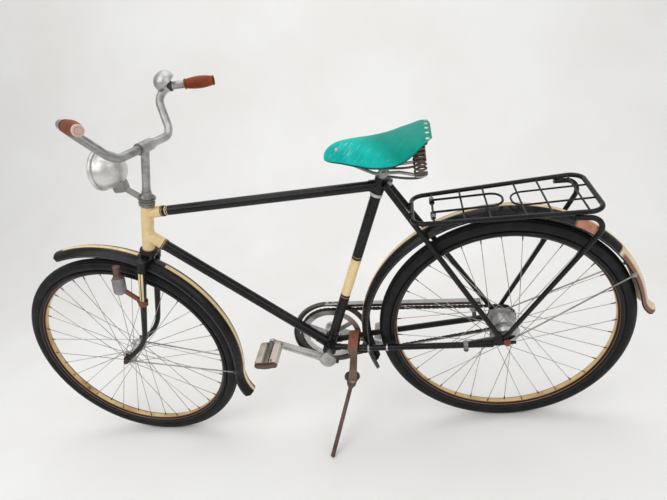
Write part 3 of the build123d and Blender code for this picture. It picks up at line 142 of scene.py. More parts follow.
@dataclass(frozen=True)
class Geometry:
    """Driving sizes of the bicycle, in millimetres and degrees, and the places worked out from them."""

    wheelbase: float = 1178.0
    wheel_r: float = 357.0
    tyre_w: float = 38.0
    tyre_depth: float = 33.0
    rim_depth: float = 19.0
    head_angle: float = 70.3
    fork_rake: float = 63.0
    fork_length: float = 426.0
    down_tube_drop: float = 46.0
    bracket_place: Place = (-516.0, 0.0, 336.0)
    seat_angle: float = 66.6
    seat_tube_length: float = 557.0
    head_above: float = 22.9
    cup_rise: float = 11.3
    nuts_rise: float = 24.0
    saddle_rise: float = 44.0
    bar_twist: float = -9.5
    crank_length: float = 172.0
    crank_angle: float = 26.5
    front_guard_shift: Place = (-8.0, 0.0, 13.0)
    front_guard_over: float = 32.0
    rear_guard_shift: Place = (-14.0, 0.0, 2.0)
    rear_guard_over: float = 39.0

    @property
    def rear_axle(self) -> Vector:
        """Middle of the rear axle."""
        return Vector((0, 0, self.wheel_r))

    @property
    def front_axle(self) -> Vector:
        """Middle of the front axle."""
        return Vector((-self.wheelbase, 0, self.wheel_r))

    @property
    def steer_up(self) -> Vector:
        """Direction up the steering axis."""
        return radial(math.radians(self.head_angle))

    @property
    def steer_fore(self) -> Vector:
        """Direction ahead of the steering axis, square to it."""
        return Vector((-self.steer_up.z, 0, self.steer_up.x))

    @property
    def bracket(self) -> Vector:
        """Middle of the bottom bracket."""
        return Vector(self.bracket_place)

    @property
    def seat_up(self) -> Vector:
        """Direction up the seat tube."""
        return radial(math.radians(self.seat_angle))

    @property
    def seat_top(self) -> Vector:
        """Top of the seat tube."""
        return self.bracket + self.seat_up * self.seat_tube_length

    @property
    def top_joint(self) -> Vector:
        """Place where the top tube meets the steering axis."""
        low = self.on_steer(self.fork_length)
        return low + self.steer_up * ((self.seat_top.z - low.z) / self.steer_up.z)

    @property
    def down_joint(self) -> Vector:
        """Place where the down tube meets the steering axis."""
        return self.on_steer(self.fork_length + self.down_tube_drop)

    @property
    def nut_top(self) -> float:
        """Height along the steering axis of the top of the head nuts."""
        high = (self.top_joint - self.on_steer(0)).length + self.head_above
        return high + self.cup_rise + self.nuts_rise

    @property
    def saddle_clamp(self) -> Vector:
        """Middle of the saddle's clamp."""
        return self.seat_top + self.seat_up * self.saddle_rise

    @property
    def front_guard(self) -> tuple[Vector, float]:
        """Middle and crown radius of the front mudguard."""
        return self.front_axle + Vector(self.front_guard_shift), self.wheel_r + self.front_guard_over

    @property
    def rear_guard(self) -> tuple[Vector, float]:
        """Middle and crown radius of the rear mudguard."""
        return self.rear_axle + Vector(self.rear_guard_shift), self.wheel_r + self.rear_guard_over

    def on_steer(self, height: float, fore: float = 0.0, side: float = 0.0) -> Vector:
        """Point at a height along the steering axis, a distance ahead of it and to the right."""
        foot = self.front_axle - self.steer_fore * self.fork_rake
        return foot + self.steer_up * height + self.steer_fore * fore + Vector((0, side, 0))

    @staticmethod
    def joint(name: str) -> dict:
        """Record of a joint by its name."""
        return next(joint for joint in frame["joints"] if joint["name"] == name)

    def steering_axis(self) -> Vector:
        """Parked direction up the steering axis."""
        axis = Vector(self.joint("steering")["axis"]).normalized()
        return axis * math.copysign(1.0, axis.z)

    def stance(self, wheel: str, axle: Vector) -> Stance:
        """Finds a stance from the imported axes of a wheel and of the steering.

        Args:
            wheel: Name of the wheel's joint.
            axle: Drawn place of its axle.

        Returns:
            The stance of everything that keeps its place to that wheel's axle.
        """
        steer = self.steering_axis()
        across = Vector(self.joint(wheel)["axis"]).normalized()
        across *= math.copysign(1.0, across.y)
        angle = math.radians(self.head_angle)
        back = (math.cos(angle) * steer + math.sin(angle) * across.cross(steer)).normalized()
        up = back.cross(across)
        turn = Matrix((back, across, up)).transposed().to_4x4()
        scale = Matrix.Scale(MM, 4)
        place = Matrix.Translation(Vector(self.joint(wheel)["pos_m"]) - (turn @ scale @ axle))
        return Stance(place @ turn @ scale)

    def frame_stance(self) -> Stance:
        """Stance of the frame and the rear wheel."""
        return self.stance("rear_wheel_spin", self.rear_axle)

    def fork_stance(self) -> Stance:
        """Stance of the fork and the front wheel."""
        return self.stance("front_wheel_spin", self.front_axle)

    def bar_stance(self) -> Stance:
        """Stance of the handlebar, which sits a little crooked on the fork."""
        pivot = Vector(self.joint("steering")["pos_m"])
        return self.fork_stance().turned(pivot, self.steering_axis(), math.radians(self.bar_twist))


class Wiring:
    """Node tree that is being built."""

    tree: bpy.types.NodeTree

    def put(self, socket: Socket, value: object) -> None:
        """Links a socket into another, or sets its value.

        Args:
            socket: Input to feed.
            value: Output socket, number or colour.
        """
        if isinstance(value, Socket):
            self.tree.links.new(value, socket)
        else:
            socket.default_value = value

    def node(self, kind: str, settings: dict[str, str] | None = None, **feeds: object) -> bpy.types.Node:
        """Adds a node.

        Args:
            kind: Kind of node.
            settings: Values of its own properties, set before its inputs are fed.
            feeds: What feeds its inputs; an underscore in a name stands for a space.

        Returns:
            The node.
        """
        node = self.tree.nodes.new(kind)
        for label, value in (settings or {}).items():
            setattr(node, label, value)
        self.feed(node, **feeds)
        return node

    def feed(self, node: bpy.types.Node, **feeds: object) -> None:
        """Feeds inputs of a node; an underscore in a name stands for a space."""
        for label, value in feeds.items():
            self.put(node.inputs[label.replace("_", " ")], value)


class Shade(Wiring):
    """Builds one material's node tree, a few nodes at a time."""

    def __init__(self, name: str) -> None:
        """Starts a material with a plain surface.

        Args:
            name: Name of the material.
        """
        self.material = bpy.data.materials.new(name)
        self.material.use_nodes = True
        self.tree = self.material.node_tree
        self.tree.nodes.clear()
        self.surface = self.node("ShaderNodeBsdfPrincipled")
        self.output = self.node("ShaderNodeOutputMaterial", Surface=self.surface.outputs["BSDF"])
        coordinates = self.node("ShaderNodeTexCoord")
        self.place = coordinates.outputs["Object"]
        self.flat = coordinates.outputs["UV"]

    def set(self, **values: object) -> None:
        """Feeds inputs of the surface; an underscore in a name stands for a space."""
        self.feed(self.surface, **values)

    def noise(self, scale: float, detail: float = 4.0, seed: float = 0.0, place: object = None) -> Socket:
        """Cloudy pattern on the object's own coordinates.

        Args:
            scale: Spots per metre, roughly.
            detail: Octaves.
            seed: Picks another pattern.
            place: Coordinates to use in place of the object's own.

        Returns:
            Factor output, centred on a half.
        """
        node = self.node(
            "ShaderNodeTexNoise", {"noise_dimensions": "4D"}, Vector=self.place if place is None else place,
            W=seed, Scale=scale, Detail=detail, Roughness=0.6,
        )
        return node.outputs["Fac"]

    def streaked(self, turn: float, scales: Place) -> Socket:
        """Object coordinates turned about Y by an angle in degrees, then scaled along each axis.

        Args:
            turn: Angle of the streaks from upright, towards the back.
            scales: Spots per metre along each turned axis.

        Returns:
            The coordinates.
        """
        node = self.node(
            "ShaderNodeMapping", {"vector_type": "TEXTURE"}, Vector=self.place,
            Rotation=(0.0, math.radians(turn), 0.0), Scale=tuple(1 / scale for scale in scales),
        )
        return node.outputs["Vector"]

    def flat_axis(self, axis: str) -> Socket:
        """One of the two flat coordinates, X or Y, in millimetres."""
        node = self.node("ShaderNodeSeparateXYZ", Vector=self.flat)
        return self.sum("DIVIDE", node.outputs[axis], MM)

    def mask(self, factor: object, low: float, high: float) -> Socket:
        """Smooth step of a factor from 0 at low to 1 at high."""
        node = self.node(
            "ShaderNodeMapRange", {"interpolation_type": "SMOOTHSTEP"}, Value=factor, From_Min=low,
            From_Max=high,
        )
        return node.outputs["Result"]

    def pair(self, kind: str, operation: str, first: object, second: object) -> bpy.types.Node:
        """Arithmetic node, for numbers or for vectors, on two values."""
        node = self.node(kind, {"operation": operation})
        self.put(node.inputs[0], first)
        self.put(node.inputs[1], second)
        return node

    def sum(self, operation: str, first: object, second: object = 0.0) -> Socket:
        """Result of one arithmetic operation on two numbers."""
        return self.pair("ShaderNodeMath", operation, first, second).outputs[0]

    def mix(self, factor: object, first: object, second: object) -> Socket:
        """Colour between two, by a factor."""
        node = self.node("ShaderNodeMix", {"data_type": "RGBA"}, Factor=factor, A=first, B=second)
        return node.outputs["Result"]

    def distance_along(self, start: Vector, direction: Vector) -> Socket:
        """Distance of a surface point along a direction from a start, in millimetres."""
        away = self.pair("ShaderNodeVectorMath", "SUBTRACT", self.place, start).outputs["Vector"]
        scaled = direction.normalized() / MM
        return self.pair("ShaderNodeVectorMath", "DOT_PRODUCT", away, scaled).outputs["Value"]

    def band(self, distance: object, low: float, high: float, soft: float = 0.5) -> Socket:
        """Mask of the stretch between two distances."""
        rise = self.mask(distance, low - soft, low + soft)
        fall = self.mask(distance, high - soft, high + soft)
        return self.sum("SUBTRACT", rise, fall)

    def relief(self, height: object, distance: float) -> None:
        """Raises the surface's look by a height pattern, in metres at full height."""
        node = self.node("ShaderNodeBump", Strength=1.0, Distance=distance, Height=height)
        self.set(Normal=node.outputs["Normal"])


class Measure(Protocol):
    """Stretch of a surface that a painted mark covers."""

    def mask(self, shade: Shade) -> Socket:
        """Factor that is 1 inside the stretch."""


@dataclass(frozen=True)
class Span:
    """Stretch along a parked direction, in millimetres from a start."""

    start: Vector
    direction: Vector
    low: float
    high: float
    soft: float = 0.5

    def mask(self, shade: Shade) -> Socket:
        """Factor that is 1 inside the stretch."""
        return shade.band(shade.distance_along(self.start, self.direction), self.low, self.high, self.soft)


@dataclass(frozen=True)
class FlatSpan:
    """Stretch of a flat coordinate of the mesh, in millimetres, on one side or on both."""

    axis: str
    low: float
    high: float
    both: bool = False
    soft: float = 0.5

    def mask(self, shade: Shade) -> Socket:
        """Factor that is 1 inside the stretch."""
        distance = shade.flat_axis(self.axis)
        if self.both:
            distance = shade.sum("ABSOLUTE", distance)
        return shade.band(distance, self.low, self.high, self.soft)


@dataclass(frozen=True)
class Mark:
    """Painted or rusted mark, where all of its spans meet."""

    colour: Colour
    spans: tuple[Measure, ...]
    wear: float = 0.0

    def mask(self, shade: Shade) -> Socket:
        """Factor that is 1 on the mark, with worn gaps where it asks for them."""
        factor = self.spans[0].mask(shade)
        for span in self.spans[1:]:
            factor = shade.sum("MULTIPLY", factor, span.mask(shade))
        if self.wear:
            gaps = shade.mask(shade.noise(140.0, detail=5.0, seed=9.0), self.wear - 0.04, self.wear + 0.04)
            factor = shade.sum("MULTIPLY", factor, gaps)
        return factor


RUST_DARK = tint(66, 44, 36)
RUST_WARM = tint(128, 78, 52)
CREAM = tint(234, 210, 160)
GOLD = tint(166, 128, 74)
BLACK = tint(10, 10, 11)
BLACK_WORN = tint(22, 21, 23)
GRIME = tint(46, 42, 38)
SEAM = tint(0, 84, 80)
# Levels of a broad noise between which a finish goes from its first tone to its second.
TONES = (0.35, 0.65)
GREY = ((168, 167, 164), (134, 132, 128))
# Name of a finish, its two tones in screen levels, how metallic, rough and rusty it is.
METALS = (
    ("dull_steel", *GREY, 0.8, 0.4, 0.12),
    ("bar_steel", (190, 190, 189), (152, 151, 149), 0.75, 0.3, 0.05),
    ("crank_steel", (200, 199, 196), (168, 166, 162), 0.8, 0.36, 0.08),
    ("polished_shell", (218, 217, 214), (192, 190, 186), 0.7, 0.32, 0.12),
    ("rusty_steel", (108, 88, 76), (78, 62, 52), 0.4, 0.6, 0.45),
    ("chain_steel", (82, 74, 70), (48, 42, 40), 0.6, 0.5, 0.3),
    ("dull_nickel", (196, 196, 195), (172, 172, 171), 0.85, 0.36, 0.08),
    ("spoke_wire", (186, 184, 180), (150, 144, 138), 0.75, 0.35, 0.15),
    ("nipple_brass", (120, 100, 74), (84, 70, 56), 0.6, 0.5, 0.4),
    ("copper_line", (160, 104, 60), (140, 92, 58), 0.0, 0.5, 0.1),
    ("rivet_steel", (204, 200, 190), (168, 160, 148), 0.7, 0.38, 0.12),
)


@dataclass(frozen=True)
class Worn:
    """Painted or bare metal that has aged: two tones, scuffs, grime and rust in patches."""

    name: str
    base: Colour
    second: Colour
    metallic: float = 0.0
    roughness: float = 0.35
    rust: float = 0.15
    rust_low: Colour = RUST_DARK
    rust_high: Colour = RUST_WARM
    grain: float = 90.0
    coat: float = 0.0
    specular: float = 0.5
    relief: float = 0.0003
    grime: float = 0.3
    marks: tuple[Mark, ...] = ()

    def build(self) -> Material:
        """Makes the finish's material.

        Returns:
            The material, with its colour, gloss and relief driven by object coordinates.
        """
        shade = Shade(self.name)
        broad = shade.noise(self.grain * 0.12, detail=3.0, seed=1.0)
        fine = shade.noise(self.grain, detail=6.0, seed=2.0)
        speck = shade.noise(self.grain * 6, detail=3.0, seed=3.0)
        colour = shade.mix(shade.mask(broad, *TONES), self.base, self.second)
        for mark in self.marks:
            colour = shade.mix(mark.mask(shade), colour, mark.colour)
        patch = shade.sum("ADD", shade.sum("MULTIPLY", broad, 0.6), shade.sum("MULTIPLY", fine, 0.4))
        edge = 0.66 - 0.3 * self.rust
        rusty = shade.mask(patch, edge, edge + 0.05)
        rust_colour = shade.mix(shade.mask(speck, 0.35, 0.7), self.rust_low, self.rust_high)
        colour = shade.mix(rusty, colour, rust_colour)
        dirt = shade.mask(shade.sum("MULTIPLY", broad, fine), 0.18, 0.42)
        colour = shade.mix(shade.sum("MULTIPLY", dirt, self.grime), colour, GRIME)
        shade.set(Base_Color=colour)
        if self.metallic:
            clean = shade.sum("SUBTRACT", 1.0, rusty)
            shade.set(Metallic=shade.sum("MULTIPLY", clean, self.metallic))
        scuffed = shade.sum("ADD", shade.sum("MULTIPLY", fine, 0.25), self.roughness - 0.1)
        shade.set(Roughness=shade.sum("ADD", scuffed, shade.sum("MULTIPLY", rusty, 0.4)))
        shade.set(Specular_IOR_Level=self.specular)
        if self.coat:
            shade.set(Coat_Weight=self.coat, Coat_Roughness=0.12)
        height = shade.sum("ADD", shade.sum("MULTIPLY", speck, 0.4), rusty)
        shade.relief(height, self.relief)
        return shade.material


def enamel(
    name: str, roughness: float = 0.24, rust: float = 0.06, marks: Sequence[Mark] = (), specular: float = 0.26
) -> Material:
    """Black enamel with marks on it.

    Args:
        name: Name of the finish.
        roughness: Roughness of the clean paint.
        rust: Share of rust, roughly.
        marks: What is painted or worn on it.
        specular: Level of the paint's reflection.

    Returns:
        The finish's material.
    """
    return Worn(
        name, BLACK, BLACK_WORN, roughness=roughness, rust=rust, specular=specular, marks=tuple(marks)
    ).build()


@dataclass(frozen=True)
class Soft:
    """Leather, rubber or moulded grip: no metal, with pores, creases, scratches and rubbed spots."""

    name: str
    base: Colour
    second: Colour
    worn: Colour
    roughness: float = 0.55
    wear: float = 0.2
    pores: float = 900.0
    creases: float = 45.0
    relief: float = 0.0005
    specular: float = 0.3
    scratch_turn: float | None = None
    scratch_scales: Place = (430.0, 90.0, 22.0)
    marks: tuple[Mark, ...] = ()

    def build(self) -> Material:
        """Makes the finish's material."""
        shade = Shade(self.name)
        broad = shade.noise(self.creases * 0.3, detail=3.0, seed=1.0)
        crease = shade.noise(self.creases, detail=6.0, seed=2.0)
        pore = shade.noise(self.pores, detail=2.0, seed=3.0)
        colour = shade.mix(shade.mask(broad, *TONES), self.base, self.second)
        edge = 0.74 - 0.3 * self.wear
        rubbed = shade.mask(crease, edge, edge + 0.04)
        height = shade.sum("ADD", shade.sum("MULTIPLY", pore, 0.4), crease)
        if self.scratch_turn is not None:
            place = shade.streaked(self.scratch_turn, self.scratch_scales)
            streak = shade.noise(1.0, detail=3.0, seed=7.0, place=place)
            scratched = shade.mask(streak, 0.56, 0.64)
            rubbed = shade.sum("MAXIMUM", rubbed, shade.sum("MULTIPLY", scratched, 0.7))
            height = shade.sum("SUBTRACT", height, scratched)
        colour = shade.mix(rubbed, colour, self.worn)
        for mark in self.marks:
            colour = shade.mix(mark.mask(shade), colour, mark.colour)
        shade.set(Base_Color=colour, Specular_IOR_Level=self.specular)
        shade.set(Roughness=shade.sum("ADD", shade.sum("MULTIPLY", crease, 0.2), self.roughness - 0.1))
        shade.relief(height, self.relief)
        return shade.material


@dataclass(frozen=True)
class Tread:
    """Tyre rubber with cross cuts between the ribs of its tread."""

    name: str = "tyre_rubber"
    cut_every: float = 5.5
    half_width: float = 15.0

    def build(self) -> Material:
        """Makes the finish's material, from the mesh's flat coordinates."""
        shade = Shade(self.name)
        around, across = shade.flat_axis("X"), shade.sum("ABSOLUTE", shade.flat_axis("Y"))
        slanted = shade.sum("ADD", around, shade.sum("MULTIPLY", across, 0.6))
        saw = shade.sum("FRACT", shade.sum("DIVIDE", slanted, self.cut_every))
        cut = shade.band(saw, 0.36, 0.64, 0.1)
        worn_tread = shade.sum("SUBTRACT", 1.0, shade.mask(across, self.half_width - 2, self.half_width))
        cuts = shade.sum("MULTIPLY", cut, worn_tread)
        dust = shade.mask(shade.noise(26.0, detail=5.0, seed=4.0), 0.42, 0.7)
        rubber = shade.mix(dust, tint(14, 14, 15), tint(30, 29, 29))
        top = shade.sum("MULTIPLY", worn_tread, 0.45)
        rubber = shade.mix(top, rubber, tint(48, 48, 48))
        # Painted shade: the cross cuts are painted darker than the rubber around them, as shade in the
        # grooves.
        rubber = shade.mix(shade.sum("MULTIPLY", cuts, 0.7), rubber, tint(12, 12, 12))
        shade.set(Base_Color=rubber, Roughness=0.52, Specular_IOR_Level=0.22)
        grain = shade.sum("MULTIPLY", shade.noise(1400.0, detail=2.0, seed=2.0), 0.15)
        shade.relief(shade.sum("SUBTRACT", grain, cuts), 0.0006)
        return shade.material


@dataclass(frozen=True)
class Glass:
    """Clear lamp glass, ribbed upright and a little dusty."""

    across: Vector
    name: str = "lamp_glass"

    def build(self) -> Material:
        """Makes the finish's material."""
        shade = Shade(self.name)
        ribs = shade.sum("SINE", shade.sum("MULTIPLY", shade.distance_along(Vector(), self.across), 1.1))
        shade.set(Base_Color=tint(222, 228, 226), Transmission_Weight=0.55, IOR=1.5)
        shade.set(Roughness=shade.sum("MULTIPLY", shade.noise(60.0), 0.35))
        shade.relief(ribs, 0.0006)
        return shade.material


def link(piece: Piece) -> Piece:
    """Puts an object into the scene."""
    bpy.context.scene.collection.objects.link(piece)
    return piece


def mount(
    piece: Piece, body: str, nodes: Sequence[str] = ()
) -> Piece:
    """Fixes a finished piece to a body.

    Args:
        piece: The piece, already in its parked place.
        body: Body that it moves with.
        nodes: Nodes of the frame that it stands for.

    Returns:
        The piece.
    """
    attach(piece, body)
    if nodes:
        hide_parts(*nodes)
    LOG.info("%s rides %s with %d faces", piece.name, body, len(piece.data.polygons))
    return piece


@dataclass
class Skin:
    """Sections of points joined into one smooth mesh with flat coordinates in millimetres."""

    name: str
    sections: list[list[Vector]]
    us: list[float]
    vs: list[float]
    ring: bool = False
    closed: bool = True
    bands: list[int] = field(default_factory=list)

    def build(self, materials: Sequence[Material], sharp: float = 40.0) -> Piece:
        """Joins the sections.

        Args:
            materials: Materials that the bands pick from.
            sharp: Angle in degrees above which an edge stays sharp.

        Returns:
            The new object, in the scene.
        """
        rows, columns = len(self.sections), len(self.sections[0])
        verts = [point for section in self.sections for point in section]
        faces, corners, picks = [], [], []
        for row in range(rows if self.ring else rows - 1):
            for column in range(columns if self.closed else columns - 1):
                down, over = (row + 1) % rows, (column + 1) % columns
                faces.append((
                    row * columns + column, row * columns + over,
                    down * columns + over, down * columns + column,
                ))
                near, far = self.us[row] * MM, self.us[row + 1] * MM
                left, right = self.vs[column] * MM, self.vs[column + 1] * MM
                corners += [(near, left), (near, right), (far, right), (far, left)]
                picks.append(self.bands[column] if self.bands else 0)
        if not self.ring and self.closed:
            for row, order in ((0, -1), (rows - 1, 1)):
                faces.append(tuple(range(row * columns, (row + 1) * columns))[::order])
                corners += [(self.us[row] * MM, 0.0)] * columns
                picks.append(0)
        mesh = new_mesh(self.name, verts, faces=faces)
        layer = mesh.uv_layers.new(name="flat")
        for corner, place in zip(layer.data, corners):
            corner.uv = place
        for polygon, pick in zip(mesh.polygons, picks):
            polygon.material_index = pick
            polygon.use_smooth = True
        for material in materials:
            mesh.materials.append(material)
        work = bmesh.new()
        work.from_mesh(mesh)
        bmesh.ops.recalc_face_normals(work, faces=work.faces)
        work.to_mesh(mesh)
        work.free()
        mesh.set_sharp_from_angle(angle=math.radians(sharp))
        return link(bpy.data.objects.new(self.name, mesh))


def new_mesh(name: str, verts: Sequence, edges: Sequence = (), faces: Sequence = ()) -> bpy.types.Mesh:
    """Mesh of given points, edges and faces."""
    mesh = bpy.data.meshes.new(name)
    mesh.from_pydata(verts, edges, faces)
    return mesh


def lengths(points: Sequence[Sequence[float]]) -> list[float]:
    """Distance of each point along a chain of points, starting at 0."""
    total = [0.0]
    for first, second in zip(points, points[1:]):
        total.append(total[-1] + math.dist(first, second))
    return total


def spun(
    name: str, stance: Stance, centre: Vector, outline: Sequence[Flat],
    steps: int, middle_v: float, bands: Sequence[int] = (),
) -> Skin:
    """Closed outline of (radius, side) stations turned round a cross axis.

    Args:
        name: Name of the piece.
        stance: Stance of the wheel.
        centre: Drawn middle of the axle.
        outline: Closed outline, without its first point repeated.
        steps: Sections round the axis.
        middle_v: Distance along the outline that counts as 0 across.
        bands: Material of each stretch of the outline.

    Returns:
        The skin to build.
    """
    sections = []
    for step in range(steps):
        angle = 2 * math.pi * step / steps
        out = radial(angle)
        sections.append([stance.at(centre + out * radius + ACROSS * side) for radius, side in outline])
    around = 2 * math.pi * max(radius for radius, side in outline)
    us = [around * step / steps for step in range(steps + 1)]
    vs = [v - middle_v for v in lengths(list(outline) + [outline[0]])]
    return Skin(name, sections, us, vs, ring=True, bands=list(bands))


def turned(
    name: str, stance: Stance, start: Vector, along: Vector, outline: Sequence[Flat], steps: int = 40
) -> Skin:
    """Open outline of (distance along, radius) stations turned about a direction."""
    axis = along.normalized()
    across = axis.orthogonal().normalized()
    other = axis.cross(across)
    sections = []
    for distance, radius in outline:
        ring = []
        for step in range(steps):
            angle = 2 * math.pi * step / steps
            out = across * math.cos(angle) + other * math.sin(angle)
            ring.append(stance.at(start + axis * distance + out * radius))
        sections.append(ring)
    widest = max(radius for distance, radius in outline)
    vs = [2 * math.pi * widest * step / steps for step in range(steps + 1)]
    return Skin(name, sections, lengths(outline) + [0.0], vs)


class Graph(Wiring):
    """Builds one geometry node tree with named inputs and bakes what it makes."""

    def __init__(self, name: str, **inputs: tuple[str, object]) -> None:
        """Starts a tree.

        Args:
            name: Name of the tree.
            inputs: Kind of socket and default value, by the input's name.
        """
        self.tree = bpy.data.node_groups.new(name, "GeometryNodeTree")
        self.tree.interface.new_socket("Geometry", in_out="INPUT", socket_type="NodeSocketGeometry")
        for label, (kind, value) in inputs.items():
            socket = self.tree.interface.new_socket(label, in_out="INPUT", socket_type=kind)
            if value is not None:
                socket.default_value = value
        self.tree.interface.new_socket("Geometry", in_out="OUTPUT", socket_type="NodeSocketGeometry")
        self.entry = self.tree.nodes.new("NodeGroupInput").outputs
        self.exit = self.tree.nodes.new("NodeGroupOutput").inputs[0]

    def attribute(self, label: str) -> Socket:
        """Vector that the points carry under a name."""
        node = self.node("GeometryNodeInputNamedAttribute", {"data_type": "FLOAT_VECTOR"}, Name=label)
        return node.outputs["Attribute"]

    def facing(self, vector: object, axis: str, start: object = None, pivot: str = "AUTO") -> Socket:
        """Rotation that points an axis along a vector."""
        node = self.node(
            "FunctionNodeAlignRotationToVector", {"axis": axis, "pivot_axis": pivot}, Vector=vector
        )
        if start is not None:
            self.put(node.inputs["Rotation"], start)
        return node.outputs["Rotation"]

    def finish(self, geometry: Socket) -> Graph:
        """Ends the tree with realized instances, smooth faces and the material that it was given."""
        real = self.node("GeometryNodeRealizeInstances", Geometry=geometry)
        smooth = self.node("GeometryNodeSetShadeSmooth", Geometry=real.outputs[0])
        coat = self.node(
            "GeometryNodeSetMaterial", Geometry=smooth.outputs[0], Material=self.entry["Material"]
        )
        self.put(self.exit, coat.outputs[0])
        return self

    def bake(self, name: str, source: bpy.types.Mesh, sharp: float = 40.0, **values: object) -> Piece:
        """Runs the tree on a mesh of points and keeps the outcome as a plain mesh.

        Args:
            name: Name of the piece.
            source: Mesh of points or edges that the tree reads.
            sharp: Angle in degrees above which an edge stays sharp.
            values: Values of the named inputs.

        Returns:
            The new object, in the scene, with no modifier.
        """
        holder = link(bpy.data.objects.new(name + "_points", source))
        modifier = holder.modifiers.new("nodes", "NODES")
        modifier.node_group = self.tree
        for item in self.tree.interface.items_tree:
            if item.in_out == "INPUT" and item.name in values:
                modifier[item.identifier] = values[item.name]
        bpy.context.view_layer.update()
        graph = bpy.context.evaluated_depsgraph_get()
        mesh = bpy.data.meshes.new_from_object(holder.evaluated_get(graph))
        bpy.data.objects.remove(holder)
        mesh.set_sharp_from_angle(angle=math.radians(sharp))
        mesh.name = name
        return link(bpy.data.objects.new(name, mesh))


@dataclass
class Studio:
    """Pale floor, soft lamps and the camera at the photograph's place."""

    yaw: float = -0.193
    pitch: float = 0.3594
    roll: float = -0.1677
    from_axle: Place = (-0.179477, -1.364229, 0.805887)
    focal_pixels: float = 518.6
    shift_pixels: tuple[float, float] = (-3.73, 0.91)
    image_width: float = 667.0
    pale: Colour = field(default_factory=lambda: tint(240, 238, 235))
    paler: Colour = field(default_factory=lambda: tint(246, 245, 243))

    def camera(self) -> None:
        """Places the camera by the rear axle."""
        forward = Vector((
            math.sin(self.yaw) * math.cos(self.pitch),
            math.cos(self.yaw) * math.cos(self.pitch),
            -math.sin(self.pitch),
        ))
        level = forward.cross(Vector((0, 0, 1))).normalized()
        upright = level.cross(forward)
        cosine, sine = math.cos(self.roll), math.sin(self.roll)
        right = cosine * level + sine * upright
        up = cosine * upright - sine * level
        eye = Vector(Geometry.joint("rear_wheel_spin")["pos_m"]) + Vector(self.from_axle)
        lens = bpy.data.cameras.new("camera")
        camera = bpy.data.objects.new("camera", lens)
        turn = Matrix((right, up, -forward)).transposed().to_4x4()
        camera.matrix_world = Matrix.Translation(eye) @ turn
        lens.sensor_width = 36.0
        lens.lens = self.focal_pixels / self.image_width * lens.sensor_width
        lens.shift_x = self.shift_pixels[0] / self.image_width
        lens.shift_y = self.shift_pixels[1] / self.image_width
        link(camera)
        bpy.context.scene.camera = camera

    def floor(self) -> None:
        """Builds the floor, which curves up into a wall behind the bicycle."""
        reach, back, rise, curve, steps = 6.0, 2.4, 4.0, 1.2, 12
        run = [(-5.0, 0.0), (back - curve, 0.0)]
        for step in range(1, steps + 1):
            turn = math.radians(90 * step / steps)
            run.append((back - curve + curve * math.sin(turn), curve - curve * math.cos(turn)))
        run.append((back, rise))
        verts = [(x, y, z) for y, z in run for x in (-reach, reach)]
        faces = [(2 * i, 2 * i + 1, 2 * i + 3, 2 * i + 2) for i in range(len(run) - 1)]
        mesh = new_mesh("floor", verts, faces=faces)
        for polygon in mesh.polygons:
            polygon.use_smooth = True
        floor = link(bpy.data.objects.new("floor", mesh))
        shade = Shade("floor")
        tone = shade.mask(shade.noise(1.2, detail=3.0, seed=5.0), 0.3, 0.7)
        shade.set(Base_Color=shade.mix(tone, self.pale, self.paler), Roughness=0.75)
        self.clear_behind(shade)
        mesh.materials.append(shade.material)

    @staticmethod
    def clear_behind(shade: Shade) -> None:
        """Lets a view from behind the wall look through it.

        Args:
            shade: The floor's material, while it is being built.
        """
        behind = shade.node("ShaderNodeNewGeometry").outputs["Backfacing"]
        clear = shade.node("ShaderNodeBsdfTransparent").outputs["BSDF"]
        either = shade.node("ShaderNodeMixShader")
        for socket, value in zip(either.inputs, (behind, shade.surface.outputs["BSDF"], clear)):
            shade.put(socket, value)
        shade.put(shade.output.inputs["Surface"], either.outputs["Shader"])

    def lamps(self) -> None:
        """Hangs three soft lamps and a dim even sky."""
        rows = [
            ("key", (-1.6, -2.6, 2.9), 3.0, 54.0),
            ("fill", (2.4, -2.2, 2.2), 2.6, 28.0),
            ("top", (0.0, 0.4, 3.4), 3.2, 40.0),
        ]
        for name, place, size, power in rows:
            lamp = bpy.data.lights.new(name, "AREA")
            lamp.size = size
            lamp.energy = power
            holder = link(bpy.data.objects.new(name, lamp))
            towards = Vector((0, 0, 0.5)) - Vector(place)
            aim = towards.to_track_quat("-Z", "Y").to_matrix().to_4x4()
            holder.matrix_world = Matrix.Translation(place) @ aim
        world = bpy.data.worlds.new("sky")
        world.use_nodes = True
        sky = world.node_tree.nodes["Background"]
        sky.inputs["Color"].default_value = (0.96, 0.98, 1.0, 1.0)
        sky.inputs["Strength"].default_value = 0.48
        bpy.context.scene.world = world

    def build(self) -> None:
        """Sets up the whole studio."""
        self.camera()
        self.floor()
        self.lamps()
        bpy.context.scene.view_settings.view_transform = "Standard"


